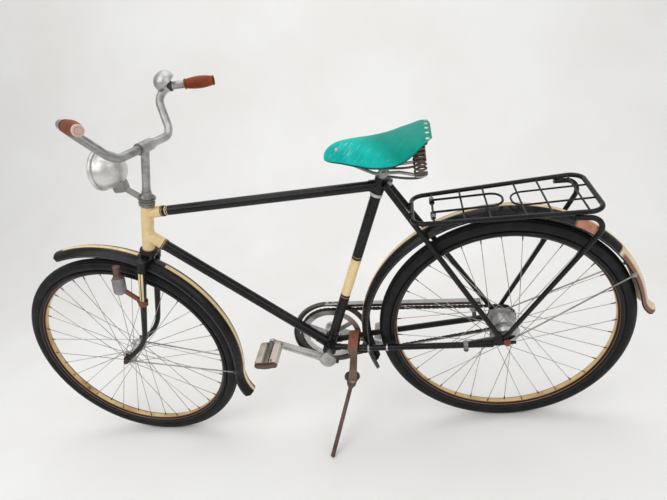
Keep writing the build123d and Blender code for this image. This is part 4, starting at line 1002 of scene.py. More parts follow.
class Workshop:
    """The three node trees that make what repeats: bent wire, coils and scattered small parts."""

    def __init__(self) -> None:
        """Builds each tree once."""
        self.wire_tree = self.wires_graph()
        self.coil_tree = self.coils_graph()
        self.scatter_tree = self.scatter_graph()

    @staticmethod
    def tube(graph: Graph, curve: Socket) -> Socket:
        """Round wire of the tree's own thickness along a curve."""
        profile = graph.node(
            "GeometryNodeCurvePrimitiveCircle", Resolution=graph.entry["Sides"], Radius=graph.entry["Wire"]
        )
        pipe = graph.node("GeometryNodeCurveToMesh", Curve=curve, Profile_Curve=profile.outputs[0])
        pipe.inputs["Fill Caps"].default_value = True
        return pipe.outputs[0]

    def wires_graph(self) -> Graph:
        """Tree that turns the edges of a mesh into round wires."""
        graph = Graph(
            "wires", Wire=("NodeSocketFloat", 1.0 * MM), Sides=("NodeSocketInt", 8),
            Material=("NodeSocketMaterial", None),
        )
        curve = graph.node("GeometryNodeMeshToCurve", Mesh=graph.entry["Geometry"]).outputs[0]
        return graph.finish(self.tube(graph, curve))

    def coils_graph(self) -> Graph:
        """Tree that stands a coil of wire on each point, along the point's own direction."""
        graph = Graph(
            "coils", Wire=("NodeSocketFloat", 2.5 * MM), Sides=("NodeSocketInt", 10),
            Turns=("NodeSocketFloat", 7.0), Radius=("NodeSocketFloat", 14 * MM),
            Height=("NodeSocketFloat", 76 * MM), Material=("NodeSocketMaterial", None),
        )
        spiral = graph.node(
            "GeometryNodeCurveSpiral", Resolution=24, Rotations=graph.entry["Turns"],
            Start_Radius=graph.entry["Radius"], End_Radius=graph.entry["Radius"],
            Height=graph.entry["Height"],
        )
        coil = self.tube(graph, spiral.outputs[0])
        placed = graph.node(
            "GeometryNodeInstanceOnPoints", Points=graph.entry["Geometry"], Instance=coil,
            Rotation=graph.facing(graph.attribute("along"), "Z"),
        )
        return graph.finish(placed.outputs[0])

    def scatter_graph(self) -> Graph:
        """Tree that puts a copy of a part on each point, turned to the point's two directions."""
        graph = Graph("scatter", Part=("NodeSocketObject", None), Material=("NodeSocketMaterial", None))
        part = graph.node("GeometryNodeObjectInfo", Object=graph.entry["Part"])
        stood = graph.facing(graph.attribute("along"), "Z")
        turned_to = graph.facing(graph.attribute("fore"), "X", stood, "Z")
        placed = graph.node(
            "GeometryNodeInstanceOnPoints", Points=graph.entry["Geometry"],
            Instance=part.outputs["Geometry"], Rotation=turned_to,
        )
        return graph.finish(placed.outputs[0])

    @staticmethod
    def points(
        places: Sequence[Vector], alongs: Sequence[Vector], fores: Sequence[Vector] = ()
    ) -> bpy.types.Mesh:
        """Mesh of loose points that carry directions.

        Args:
            places: Parked places.
            alongs: Direction of each part's own Z.
            fores: Direction of each part's own X, where it matters.

        Returns:
            The mesh.
        """
        mesh = new_mesh("points", [tuple(place) for place in places])
        for label, vectors in (("along", alongs), ("fore", fores or [v.orthogonal() for v in alongs])):
            layer = mesh.attributes.new(label, "FLOAT_VECTOR", "POINT")
            for entry, vector in zip(layer.data, vectors):
                entry.vector = vector
        return mesh

    @staticmethod
    def chains(runs: Sequence[Sequence[Vector]]) -> bpy.types.Mesh:
        """Mesh of edges along each run of parked points."""
        verts, edges = [], []
        for run in runs:
            first = len(verts)
            verts += [tuple(point) for point in run]
            edges += [(first + i, first + i + 1) for i in range(len(run) - 1)]
        return new_mesh("runs", verts, edges)

    def wires(
        self, name: str, runs: Sequence[Sequence[Vector]], radius: float, finish: Material, sides: int = 8
    ) -> Piece:
        """Round wires along runs of parked points, with a radius in millimetres."""
        return self.wire_tree.bake(name, self.chains(runs), Wire=radius * MM, Sides=sides, Material=finish)

    def scatter(
        self, name: str, part: Piece, source: bpy.types.Mesh, finish: Material
    ) -> Piece:
        """Copies of a part on points; the part itself is used up."""
        piece = self.scatter_tree.bake(name, source, Part=part, Material=finish)
        bpy.data.objects.remove(part)
        return piece


@dataclass
class Wheel:
    """One wheel: ribbed tyre, rim with painted flanks, crossed spokes and their nipples."""

    geometry: Geometry
    workshop: Workshop
    name: str
    stance: Stance
    centre: Vector
    flange_y: float
    hole_r: float
    flange_t: float = 2.6
    spoke_count: int = 36
    spoke_r: float = 1.0
    cross_angle: float = 60.0
    splay: float = 0.9
    hole_play: float = 0.3
    nipple_y: float = 4.0
    nipple_length: float = 12.0
    rim_half_w: float = 17.0
    rib_count: int = 4
    rib_depth: float = 1.3
    steps: int = 144

    @property
    def body(self) -> str:
        """Body that the wheel is."""
        return f"{self.name}_wheel"

    def tyre(self, rubber: Material) -> None:
        """Builds the tyre, with ribs round its tread."""
        geo = self.geometry
        radius = geo.tyre_w / 2
        ring_r = geo.wheel_r - radius
        seat_angle = math.acos((geo.wheel_r - geo.tyre_depth - ring_r) / radius)
        tread_angle, points = math.radians(54), 56
        outline = []
        for step in range(points + 1):
            angle = seat_angle * (2 * step / points - 1)
            dip = 0.0
            if abs(angle) < tread_angle:
                wave = math.sin(math.pi * (2 * self.rib_count + 1) * (angle / tread_angle + 1) / 2)
                dip = self.rib_depth * max(0.0, -wave)
            reach = radius - dip
            outline.append((ring_r + reach * math.cos(angle), reach * math.sin(angle)))
        half = lengths(outline)[-1] / 2
        skin = spun(f"{self.name}_tread", self.stance, self.centre, outline, 2 * self.steps, half)
        mount(skin.build([rubber], sharp=60), self.body, [f"{self.name}_tyre"])

    def rim(self, flank: Material, well: Material, line: Material) -> None:
        """Builds the rim: painted flanks outside, the cream well facing the hub, a thin line between."""
        bed = self.geometry.wheel_r - self.geometry.tyre_depth
        inner = bed - self.geometry.rim_depth
        wide = self.rim_half_w
        half = [
            (inner, 0.0, 1), (inner + 0.4, 5.0, 1), (inner + 0.9, 7.0, 2), (inner + 2.0, 8.4, 0),
            (inner + 4.4, 10.0, 0), (inner + 6.2, 11.8, 2), (inner + 6.9, 13.4, 0),
            (inner + 7.6, wide - 1.6, 0), (inner + 9.0, wide - 0.5, 0), (inner + 11.0, wide, 0),
            (bed - 3.0, wide, 0), (bed - 0.9, wide - 0.8, 0), (bed, wide - 3.0, 0),
        ]
        mirrored = half[:0:-1]
        outline = [(r, y) for r, y, band in half] + [(r, -y) for r, y, band in mirrored]
        bands = [band for r, y, band in half] + [band for r, y, band in half[-2:0:-1]] + [1]
        skin = spun(f"{self.name}_rim_shell", self.stance, self.centre, outline, self.steps, 0.0, bands)
        mount(skin.build([flank, well, line], sharp=35), self.body, [f"{self.name}_rim"])

    def spoke_ends(self) -> list[Pair]:
        """Hub end and rim end of each spoke, in drawn places."""
        per_flange = self.spoke_count // 2
        step = 2 * math.pi / per_flange
        end_r = self.geometry.wheel_r - self.geometry.tyre_depth - self.geometry.rim_depth
        ends = []
        for sense in (-1, 1):
            lie = sense * (self.flange_t / 2 + self.spoke_r + self.hole_play) + max(sense, 0) * self.splay
            for side in Side:
                for index in range(0 if sense < 0 else 1, per_flange, 2):
                    hub = step * index + (step / 2 if side is Side.RIGHT else 0)
                    rim = hub + sense * math.radians(self.cross_angle)
                    across = side.value * (self.flange_y + lie)
                    hole = Vector((self.hole_r * math.cos(hub), across, self.hole_r * math.sin(hub)))
                    low = Vector((end_r * math.cos(rim), side.value * self.nipple_y, end_r * math.sin(rim)))
                    ends.append((self.centre + hole, self.centre + low))
        return ends

    def spokes(self, wire: Material, brass: Material) -> None:
        """Builds the spokes, each with a nipple at the rim."""
        ends = [(self.stance.at(hub), self.stance.at(rim)) for hub, rim in self.spoke_ends()]
        rods = self.workshop.wires(f"{self.name}_spoke_wires", ends, self.spoke_r, wire)
        mount(rods, self.body, [f"{self.name}_spokes"])
        barrel = [(-0.6, 2.0), (2.0, 2.0), (self.nipple_length, 1.5)]
        part = turned("nipple", PLAIN, Vector(), UPWARD, barrel, 8).build([])
        source = self.workshop.points([rim for hub, rim in ends], [hub - rim for hub, rim in ends])
        nipples = self.workshop.scatter(f"{self.name}_nipples", part, source, brass)
        mount(nipples, self.body)

    def build(self, wardrobe: Wardrobe) -> None:
        """Builds the wheel with its finishes."""
        self.tyre(wardrobe.tread)
        self.rim(wardrobe.rim_flank, wardrobe.rim_well, wardrobe.copper_line)
        self.spokes(wardrobe.spoke_wire, wardrobe.nipple_brass)


@dataclass
class Mudguard:
    """Arched strip round a wheel, rolled at its edges and flared at its tail."""

    name: str
    stance: Stance
    centre: Vector
    crown_r: float
    start_angle: float
    end_angle: float
    flare_r: float
    flare_angle: float
    body: str
    half_w: float = 30.0
    arch: float = 21.5
    thick: float = 1.2
    bead: float = 1.7
    bead_turn: Flat = (-25.0, 250.0)
    bead_out: float = 0.4
    corner: float = 16.0
    corner_cut: float = 0.35
    step_length: float = 9.0
    arc_steps: int = 28
    bead_steps: int = 6
    flare_steps: int = 16

    def profile(self, share: float) -> list[Flat]:
        """Closed outline of (height over the edge, side), narrowed to a share of its width."""
        arc_r = (self.half_w ** 2 + self.arch ** 2) / (2 * self.arch)
        reach = math.atan2(self.half_w, arc_r - self.arch) * share
        outer, inner = [], []
        for step in range(self.arc_steps + 1):
            angle = reach * (2 * step / self.arc_steps - 1)
            cosine, sine = math.cos(angle), math.sin(angle)
            outer.append((self.arch - arc_r + arc_r * cosine, arc_r * sine))
            inner.append((self.arch - arc_r + (arc_r - self.thick) * cosine, (arc_r - self.thick) * sine))
        height, side = outer[-1]
        roll = []
        for step in range(self.bead_steps + 1):
            turn = math.radians(self.bead_turn[0] + self.bead_turn[1] * step / self.bead_steps)
            roll.append((
                height - self.bead * math.sin(turn) + self.bead_out,
                side - self.bead + self.bead * math.cos(turn),
            ))
        near = [(h, -s) for h, s in reversed(roll)]
        return outer[1:-1] + roll + inner[-2:0:-1] + near

    def stations(self) -> list[Pair]:
        """Foot of the edge line and outward direction at each step along the strip, in drawn places."""
        edge_r = self.crown_r - self.arch
        rows = []
        span = math.radians(self.start_angle - self.end_angle)
        count = math.ceil(edge_r * span / self.step_length)
        for step in range(count + 1):
            angle = math.radians(self.start_angle) - span * step / count
            out = radial(angle)
            rows.append((self.centre + out * edge_r, out))
        end = math.radians(self.end_angle)
        out = radial(end)
        pivot = self.centre + out * (self.crown_r + self.flare_r)
        for step in range(1, self.flare_steps + 1):
            turn = Matrix.Rotation(-math.radians(self.flare_angle) * step / self.flare_steps, 3, "Y")
            place = pivot + turn @ (self.centre + out * edge_r - pivot)
            rows.append((place, turn @ out))
        return rows

    def build(self, finish: Material) -> None:
        """Builds the strip."""
        rows = self.stations()
        us = lengths([place for place, out in rows])
        sections = []
        for (place, out), along in zip(rows, us):
            left = min(along, us[-1] - along)
            bite = max(0.0, 1 - left / self.corner)
            share = 1 - self.corner_cut * (1 - math.sqrt(max(0.0, 1 - bite ** 2)))
            sections.append([
                self.stance.at(place + out * height + ACROSS * side) for height, side in self.profile(share)
            ])
        full = self.profile(1.0)
        vs = lengths(full + [full[0]])
        middle = vs[self.arc_steps // 2 - 1]
        skin = Skin(f"{self.name}_strip", sections, us, [v - middle for v in vs])
        mount(skin.build([finish], sharp=50), self.body, [self.name])


@dataclass
class Chain:
    """Roller chain round the chain wheel and the sprocket, of narrow and wide links in turn."""

    geometry: Geometry
    workshop: Workshop
    stance: Stance
    pitch: float = 12.7
    ring_teeth: int = 48
    sprocket_teeth: int = 20
    line: float = 45.0
    half_height: float = 4.0
    waist: float = 2.7
    plate: float = 1.0
    roller_r: float = 2.9
    pin_r: float = 1.7
    pin_reach: float = 4.4
    end_turn: float = 75.0
    end_steps: int = 6

    def radius(self, teeth: int) -> float:
        """Pitch radius of a toothed wheel."""
        return self.pitch / (2 * math.sin(math.pi / teeth))

    def pins(self) -> list[Vector]:
        """Drawn place of each pin round the chain."""
        ring_r, sprocket_r = self.radius(self.ring_teeth), self.radius(self.sprocket_teeth)
        bracket, axle = self.geometry.bracket, self.geometry.rear_axle
        between = axle - bracket
        middle = math.atan2(between.z, between.x)
        tangent = math.acos((ring_r - sprocket_r) / between.length)
        run = between.length * math.sin(tangent)
        wrap = 2 * tangent * sprocket_r
        total = 2 * run + wrap + 2 * (math.pi - tangent) * ring_r
        count = 2 * round(total / self.pitch / 2)
        pins = []
        for index in range(count):
            along = total * index / count
            if along < run:
                centre, reach, angle, rest = bracket, ring_r, middle + tangent, along
            elif along < run + wrap:
                centre, reach, rest = axle, sprocket_r, 0.0
                angle = middle + tangent - (along - run) / sprocket_r
            elif along < 2 * run + wrap:
                centre, reach, angle, rest = axle, sprocket_r, middle - tangent, along - run - wrap
            else:
                centre, reach, rest = bracket, ring_r, 0.0
                angle = middle - tangent - (along - 2 * run - wrap) / ring_r
            out = radial(angle)
            onward = Vector((math.sin(angle), 0, -math.cos(angle)))
            place = centre + out * reach + onward * rest
            pins.append(Vector((place.x, self.line, place.z)))
        return pins

    def link(self, name: str, inner_side: float) -> Piece:
        """One link lying along X with its pins across, in metres: two plates and a roller."""
        outline = []
        for end in (1, -1):
            for step in range(self.end_steps + 1):
                angle = math.radians(self.end_turn * (2 * step / self.end_steps - 1))
                outline.append((
                    end * (self.pitch / 2 + self.half_height * math.cos(angle)),
                    end * self.half_height * math.sin(angle),
                ))
            outline.append((0.0, end * self.waist))
        work = bmesh.new()
        for side in (-1, 1):
            near, far = (
                [work.verts.new((x * MM, y * MM, side * across * MM)) for x, y in outline]
                for across in (inner_side, inner_side + self.plate)
            )
            work.faces.new(near)
            work.faces.new(far)
            for i in range(len(outline)):
                j = (i + 1) % len(outline)
                work.faces.new((near[i], near[j], far[j], far[i]))
        rounds = ((-self.pitch / 2, inner_side, self.roller_r), (self.pitch / 2, self.pin_reach, self.pin_r))
        for x, reach, radius in rounds:
            bmesh.ops.create_cone(
                work, cap_ends=True, segments=10, radius1=radius * MM, radius2=radius * MM,
                depth=2 * reach * MM, matrix=Matrix.Translation((x * MM, 0, 0)),
            )
        bmesh.ops.recalc_face_normals(work, faces=work.faces)
        mesh = bpy.data.meshes.new(name)
        work.to_mesh(mesh)
        work.free()
        return link(bpy.data.objects.new(name, mesh))

    def build(self, finish: Material) -> None:
        """Builds both kinds of link and lays them round the wheels."""
        pins = self.pins()
        across = self.stance.along(ACROSS)
        for kind, first, inner_side in (("narrow", 0, 1.9), ("wide", 1, 3.0)):
            places, fores = [], []
            for index in range(first, len(pins), 2):
                here, onward = pins[index], pins[(index + 1) % len(pins)]
                places.append(self.stance.at((here + onward) / 2))
                fores.append(self.stance.along(onward - here))
            source = self.workshop.points(places, [across] * len(places), fores)
            links = self.workshop.scatter(f"chain_{kind}_links", self.link(kind, inner_side), source, finish)
            mount(links, "frame", ["chain"] if kind == "narrow" else [])


@dataclass
class Saddle:
    """Leather of the saddle, its lower rails, its coil springs and the rivets that hold the leather."""

    geometry: Geometry
    workshop: Workshop
    stance: Stance
    spring_back: float = 89.0
    spring_y: float = 46.0
    spring_r: float = 16.5
    wire_r: float = 2.5
    turns: float = 7.0
    height: float = 77.0
    leather_t: float = 3.6
    rail_start: float = 6.0
    rail_past: float = 8.0
    rail_steps: int = 12
    rivet_backs: Flat = (112.0, -106.0)
    ray_from: float = 160.0
    fullness: float = 2.35
    # Distance behind the clamp, half width, height of the lower edge and of the top.
    rows: tuple[tuple[float, float, float, float], ...] = (
        (-143, 6, 51, 55), (-141, 12, 48, 61), (-133, 18, 45, 71), (-119, 24, 42, 80), (-98, 31, 39, 86),
        (-60, 41, 30, 88), (-20, 60, 27, 86), (22, 82, 34, 86), (50, 96, 47, 88), (76, 99, 63, 89),
        (95, 92, 77, 90), (109, 80, 84, 90), (118, 66, 85, 88), (122, 54, 83, 85),
    )

    def row(self, share: float) -> list[float]:
        """Measures of the leather at a share of the way from its nose to its back, smoothly joined."""
        last = len(self.rows) - 1
        at = min(share * last, last - 1e-6)
        index = int(at)
        t = at - index
        p = [self.rows[min(max(index + step, 0), last)] for step in (-1, 0, 1, 2)]
        return [
            0.5 * (
                2 * b + (c - a) * t + (2 * a - 5 * b + 4 * c - d) * t * t + (3 * b - a - 3 * c + d) * t ** 3
            )
            for a, b, c, d in zip(*p)
        ]

    def section(self, share: float, points: int = 40) -> list[Vector]:
        """Arch of the leather across the saddle, from its left edge to its right."""
        back, half, edge, top = self.row(share)
        arch = []
        for step in range(points + 1):
            angle = math.pi * step / points
            cosine, sine = -math.cos(angle), math.sin(angle)
            side = math.copysign(abs(cosine) ** (2 / self.fullness), cosine)
            rise = sine ** (2 / self.fullness)
            place = Vector((back, half * side, edge + (top - edge) * rise))
            arch.append(self.stance.at(self.geometry.saddle_clamp + place))
        return arch

    def cover(self, leather: Material, steps: int = 84) -> Piece:
        """Builds the leather: one arched shell, closed and rounded at its nose."""
        sections = [self.section(step / steps) for step in range(steps + 1)]
        us = [float(step) for step in range(steps + 1)]
        vs = [float(step) for step in range(len(sections[0]))]
        shell = Skin("saddle_leather", sections, us, vs, closed=False).build([leather], sharp=70)
        work = bmesh.new()
        work.from_mesh(shell.data)
        work.faces.new(work.verts[: len(sections[0])])
        bmesh.ops.recalc_face_normals(work, faces=work.faces)
        up = self.stance.along(UPWARD)
        crown = max(work.faces, key=lambda face: face.calc_center_median().dot(up))
        if crown.normal.dot(up) < 0:
            bmesh.ops.reverse_faces(work, faces=work.faces)
        work.to_mesh(shell.data)
        work.free()
        wall = shell.modifiers.new("wall", "SOLIDIFY")
        wall.thickness = self.leather_t * MM
        wall.offset = -1.0
        bpy.context.view_layer.update()
        graph = bpy.context.evaluated_depsgraph_get()
        mesh = bpy.data.meshes.new_from_object(shell.evaluated_get(graph))
        shell.modifiers.clear()
        shell.data = mesh
        return mount(shell, "frame", ["saddle_cover"])

    def rails(self, finish: Material) -> None:
        """Builds the lower wire on each side, from the clamp to the foot of the spring."""
        clamp = self.geometry.saddle_clamp
        runs = []
        for side in Side:
            run = []
            for step in range(self.rail_steps + 1):
                share = step / self.rail_steps
                reach = self.spring_back + self.rail_past - self.rail_start
                back = self.rail_start + reach * math.sin(math.pi / 2 * share)
                drop = -9 - 10 * math.sin(math.pi * share) + 2 * share
                run.append(self.stance.at(clamp + Vector((back, side.value * (24 + 24 * share), drop))))
            runs.append(run)
        wires = self.workshop.wires("saddle_lower_rails", runs, 3.0, finish, 10)
        mount(wires, "frame")

    def springs(self, finish: Material) -> None:
        """Builds both coil springs."""
        up = self.stance.along(UPWARD)
        foot = self.geometry.saddle_clamp + Vector((self.spring_back, 0, -4 + self.wire_r))
        places = [self.stance.at(foot + side.out * self.spring_y) for side in Side]
        coils = self.workshop.coil_tree.bake(
            "saddle_coils", self.workshop.points(places, [up, up]), Wire=self.wire_r * MM, Sides=10,
            Turns=self.turns, Radius=(self.spring_r - self.wire_r) * MM,
            Height=(self.height - 2 * self.wire_r) * MM, Material=finish,
        )
        mount(coils, "frame", ["saddle_springs"])

    def rivets(self, cover: Piece, finish: Material) -> None:
        """Builds the rivets, each set on the leather under its place."""
        bpy.context.view_layer.update()
        down = self.stance.along((0, 0, -1))
        rear, nose = self.rivet_backs
        rows = [(rear, y) for y in (-66, -33, 0, 33, 66)] + [(nose, y) for y in (-21, 21)]
        places, ups = [], []
        for back, side in rows:
            above = self.stance.at(self.geometry.saddle_clamp + Vector((back, side, self.ray_from)))
            hit, place, normal, _ = cover.ray_cast(above, down)
            if hit:
                places.append(place)
                ups.append(normal)
        dome = [(-1.0, 5.2), (0.5, 5.2), (1.2, 4.6), (1.9, 3.4), (2.3, 1.6), (2.4, 0.3)]
        part = turned("rivet", PLAIN, Vector(), UPWARD, dome, 16).build([])
        rivets = self.workshop.scatter("saddle_rivets", part, self.workshop.points(places, ups), finish)
        mount(rivets, "frame")

    def build(self, wardrobe: Wardrobe) -> None:
        """Builds the leather, the lower rails, the springs and the rivets."""
        cover = self.cover(wardrobe.leather)
        self.rails(wardrobe.rusty)
        self.springs(wardrobe.rusty)
        self.rivets(cover, wardrobe.rivet)


@dataclass
class Lamp:
    """Bowl of the headlamp, with the ring round its glass."""

    geometry: Geometry
    stance: Stance
    rise: float = 45.0
    reach: float = 108.6
    radius: float = 51.0
    depth: float = 52.0
    front: float = 14.0
    nose_power: float = 1.15
    side_power: float = 0.92
    along: Place = (-1.0, 0.0, 0.08)

    def outline(self) -> list[Flat]:
        """Distance ahead of the lamp's middle and radius at each station."""
        rows, steps = [], 24
        for step in range(1, steps + 1):
            angle = math.radians(90 * step / steps)
            rows.append((
                -self.depth * math.cos(angle) ** self.nose_power,
                self.radius * math.sin(angle) ** self.side_power,
            ))
        ring = [
            (-5.0, 0.0), (-4.4, -1.4), (-3.2, -1.4), (-2.6, 2.2), (-1.0, 4.0), (3.0, 4.4), (7.5, 3.2),
            (9.0, 0.6), (9.0, -3.2), (4.6, -4.6),
        ]
        rows += [(self.front + ahead, self.radius + out) for ahead, out in ring]
        return rows + [(self.front + 4.2, 30.0), (self.front + 4.2, 2.0)]

    def build(self, finish: Material) -> None:
        """Builds the bowl."""
        geo = self.geometry
        centre = geo.on_steer(geo.nut_top + self.rise, fore=self.reach)
        skin = turned("headlamp_bowl", self.stance, centre, Vector(self.along), self.outline(), 72)
        mount(skin.build([finish], sharp=45), "fork", ["headlamp"])


@dataclass
class Bell:
    """Domed bell on the right side of the bar, with its clamp and lever."""

    geometry: Geometry
    stance: Stance
    from_tip: float = 120.0
    radius: float = 31.0
    height: float = 28.0
    lift: float = 15.0
    dome_up: Place = (-0.34, -0.42, 0.84)

    def outline(self) -> list[Flat]:
        """Distance above the base and radius at each station."""
        edge, lip, steps = self.radius, 1.5, 19
        rows = [(1.0, 6.0), (1.0, edge - 3.0), (-lip, edge - 2.0), (-lip, edge), (lip, edge)]
        for step in range(1, steps):
            angle = math.radians(90 * step / steps)
            rows.append((lip + self.height * math.sin(angle), edge * math.cos(angle) ** 0.85))
        return rows

    def build(self, dome: Material, clamp: Material) -> None:
        """Builds the dome, its post, the clamp and the lever."""
        tip, inward = Grips(self.geometry, self.stance).ends(Side.RIGHT)
        inward = inward.normalized()
        seat = tip + inward * self.from_tip
        up = Vector(self.dome_up).normalized()
        shell = turned("bell_dome", self.stance, seat + up * self.lift, up, self.outline(), 56)
        mount(shell.build([dome], sharp=45), "fork", ["bell"])
        band = [(-8.0, 11.1), (-8.0, 13.6), (-7.0, 14.4), (7.0, 14.4), (8.0, 13.6), (8.0, 11.1)]
        post = [(8.0, 7.0), (self.lift - 2.0, 6.0), (self.lift + 1.5, 6.0)]
        edge = self.radius
        arm = [(0.0, 2.4), (edge + 2, 2.0), (edge + 4, 4.4), (edge + 9, 4.0), (edge + 10, 1.5)]
        parts = (
            ("bell_clamp", seat, inward, band, 40, clamp),
            ("bell_post", seat, up, post, 20, clamp),
            ("bell_lever", seat + up * (self.lift - 5), up.cross(inward).normalized(), arm, 12, dome),
        )
        for name, foot, along, outline, steps, finish in parts:
            skin = turned(name, self.stance, foot, along, outline, steps)
            mount(skin.build([finish]), "fork")


@dataclass
class Grips:
    """Ridged grips on the bar ends."""

    geometry: Geometry
    stance: Stance
    stem_rise: float = 136.0
    bend: Place = (-63.0, 178.0, 115.5)
    tip: Place = (78.5, 255.0, 107.5)
    length: float = 79.0
    radius: float = 12.8
    bulge: float = 4.2
    ridge: float = 0.25
    ridge_count: int = 14

    def ends(self, side: Side) -> tuple[Vector, Vector]:
        """Bar's end and the direction inward from it, in drawn places."""
        geo = self.geometry
        mirror = Vector((1, side.value, 1))
        clamp = geo.on_steer(geo.nut_top + self.stem_rise)
        return clamp + Vector(self.tip) * mirror, (Vector(self.bend) - Vector(self.tip)) * mirror

    def outline(self) -> list[Flat]:
        """Distance inward from the bar's end and radius at each station."""
        rows = [
            (-3.4, 2.4), (-3.4, 4.2), (-4.4, 4.6), (-4.4, 6.6), (-3.0, 7.0), (-3.0, 8.4), (-4.8, 8.8),
            (-4.8, 11.0), (-4.0, 12.4), (-2.0, 13.2), (0.0, 13.2), (0.6, 12.6), (1.6, 12.8),
        ]
        start, end = 2.4, self.length - 7
        count = self.ridge_count * 4
        for step in range(count + 1):
            share = step / count
            swell = self.bulge * math.sin(math.pi * share) ** 0.8
            wave = self.ridge * math.cos(math.pi * step / 2)
            rows.append((start + (end - start) * share, self.radius + swell - wave))
        rows += [(end + 1.0, 12.4), (end + 2.0, 14.6), (end + 5.0, 14.6)]
        return rows + [(self.length - 1, 13.6), (self.length, 11.2)]

    def build(self, near: Material, far: Material) -> None:
        """Builds both grips."""
        for side, finish in ((Side.LEFT, near), (Side.RIGHT, far)):
            tip, inward = self.ends(side)
            skin = turned(f"{side.label}_grip", self.stance, tip, inward, self.outline(), 40)
            nodes = ["grips"] if side is Side.LEFT else []
            mount(skin.build([finish], sharp=50), "fork", nodes)


@dataclass
class PedalRubbers:
    """Two grooved rubber blocks on each pedal."""

    geometry: Geometry
    stance: Stance
    axle_gap: float = 21.0
    inner_y: float = 80.0
    length: float = 82.0
    width: float = 20.0
    height: float = 25.0
    corner: float = 3.5
    bevel: float = 1.2
    groove: float = 1.3
    groove_step: float = 4.2

    def section(self) -> list[Flat]:
        """Outline of a block, with grooves across its top and bottom."""
        half_w, half_h, corner = self.width / 2, self.height / 2, self.corner
        top = [(half_w, half_h - corner), (half_w - 1.0, half_h - 1.0), (half_w - corner, half_h)]
        for middle in (self.groove_step, 0.0, -self.groove_step):
            top += [
                (middle + 1.3, half_h), (middle + 0.6, half_h - self.groove),
                (middle - 0.6, half_h - self.groove), (middle - 1.3, half_h),
            ]
        top += [(-half_w + corner, half_h), (-half_w + 1.0, half_h - 1.0), (-half_w, half_h - corner)]
        return top + [(-x, -z) for x, z in top]

    def build(self, finish: Material) -> None:
        """Builds the blocks of both pedals."""
        angle = math.radians(self.geometry.crank_angle)
        arm = Vector((-math.cos(angle), 0, math.sin(angle))) * self.geometry.crank_length
        us = [0.0, self.bevel] + [self.length * step / 8 for step in range(1, 8)]
        us += [self.length - self.bevel, self.length]
        vs = lengths(self.section() + [self.section()[0]])
        for side in Side:
            end = self.geometry.bracket - arm * side.value
            body = f"{side.label}_pedal"
            for number, back in enumerate((-self.axle_gap, self.axle_gap)):
                sections = []
                for along in us:
                    slim = 0.93 if along in (0.0, self.length) else 1.0
                    across = side.value * (self.inner_y + along)
                    sections.append([
                        self.stance.at(Vector((end.x + back + x * slim, across, end.z + z * slim)))
                        for x, z in self.section()
                    ])
                skin = Skin(f"{body}_rubber_{number + 1}", sections, us, vs)
                nodes = [f"{body}_blocks"] if number == 0 else []
                mount(skin.build([finish], sharp=50), body, nodes)


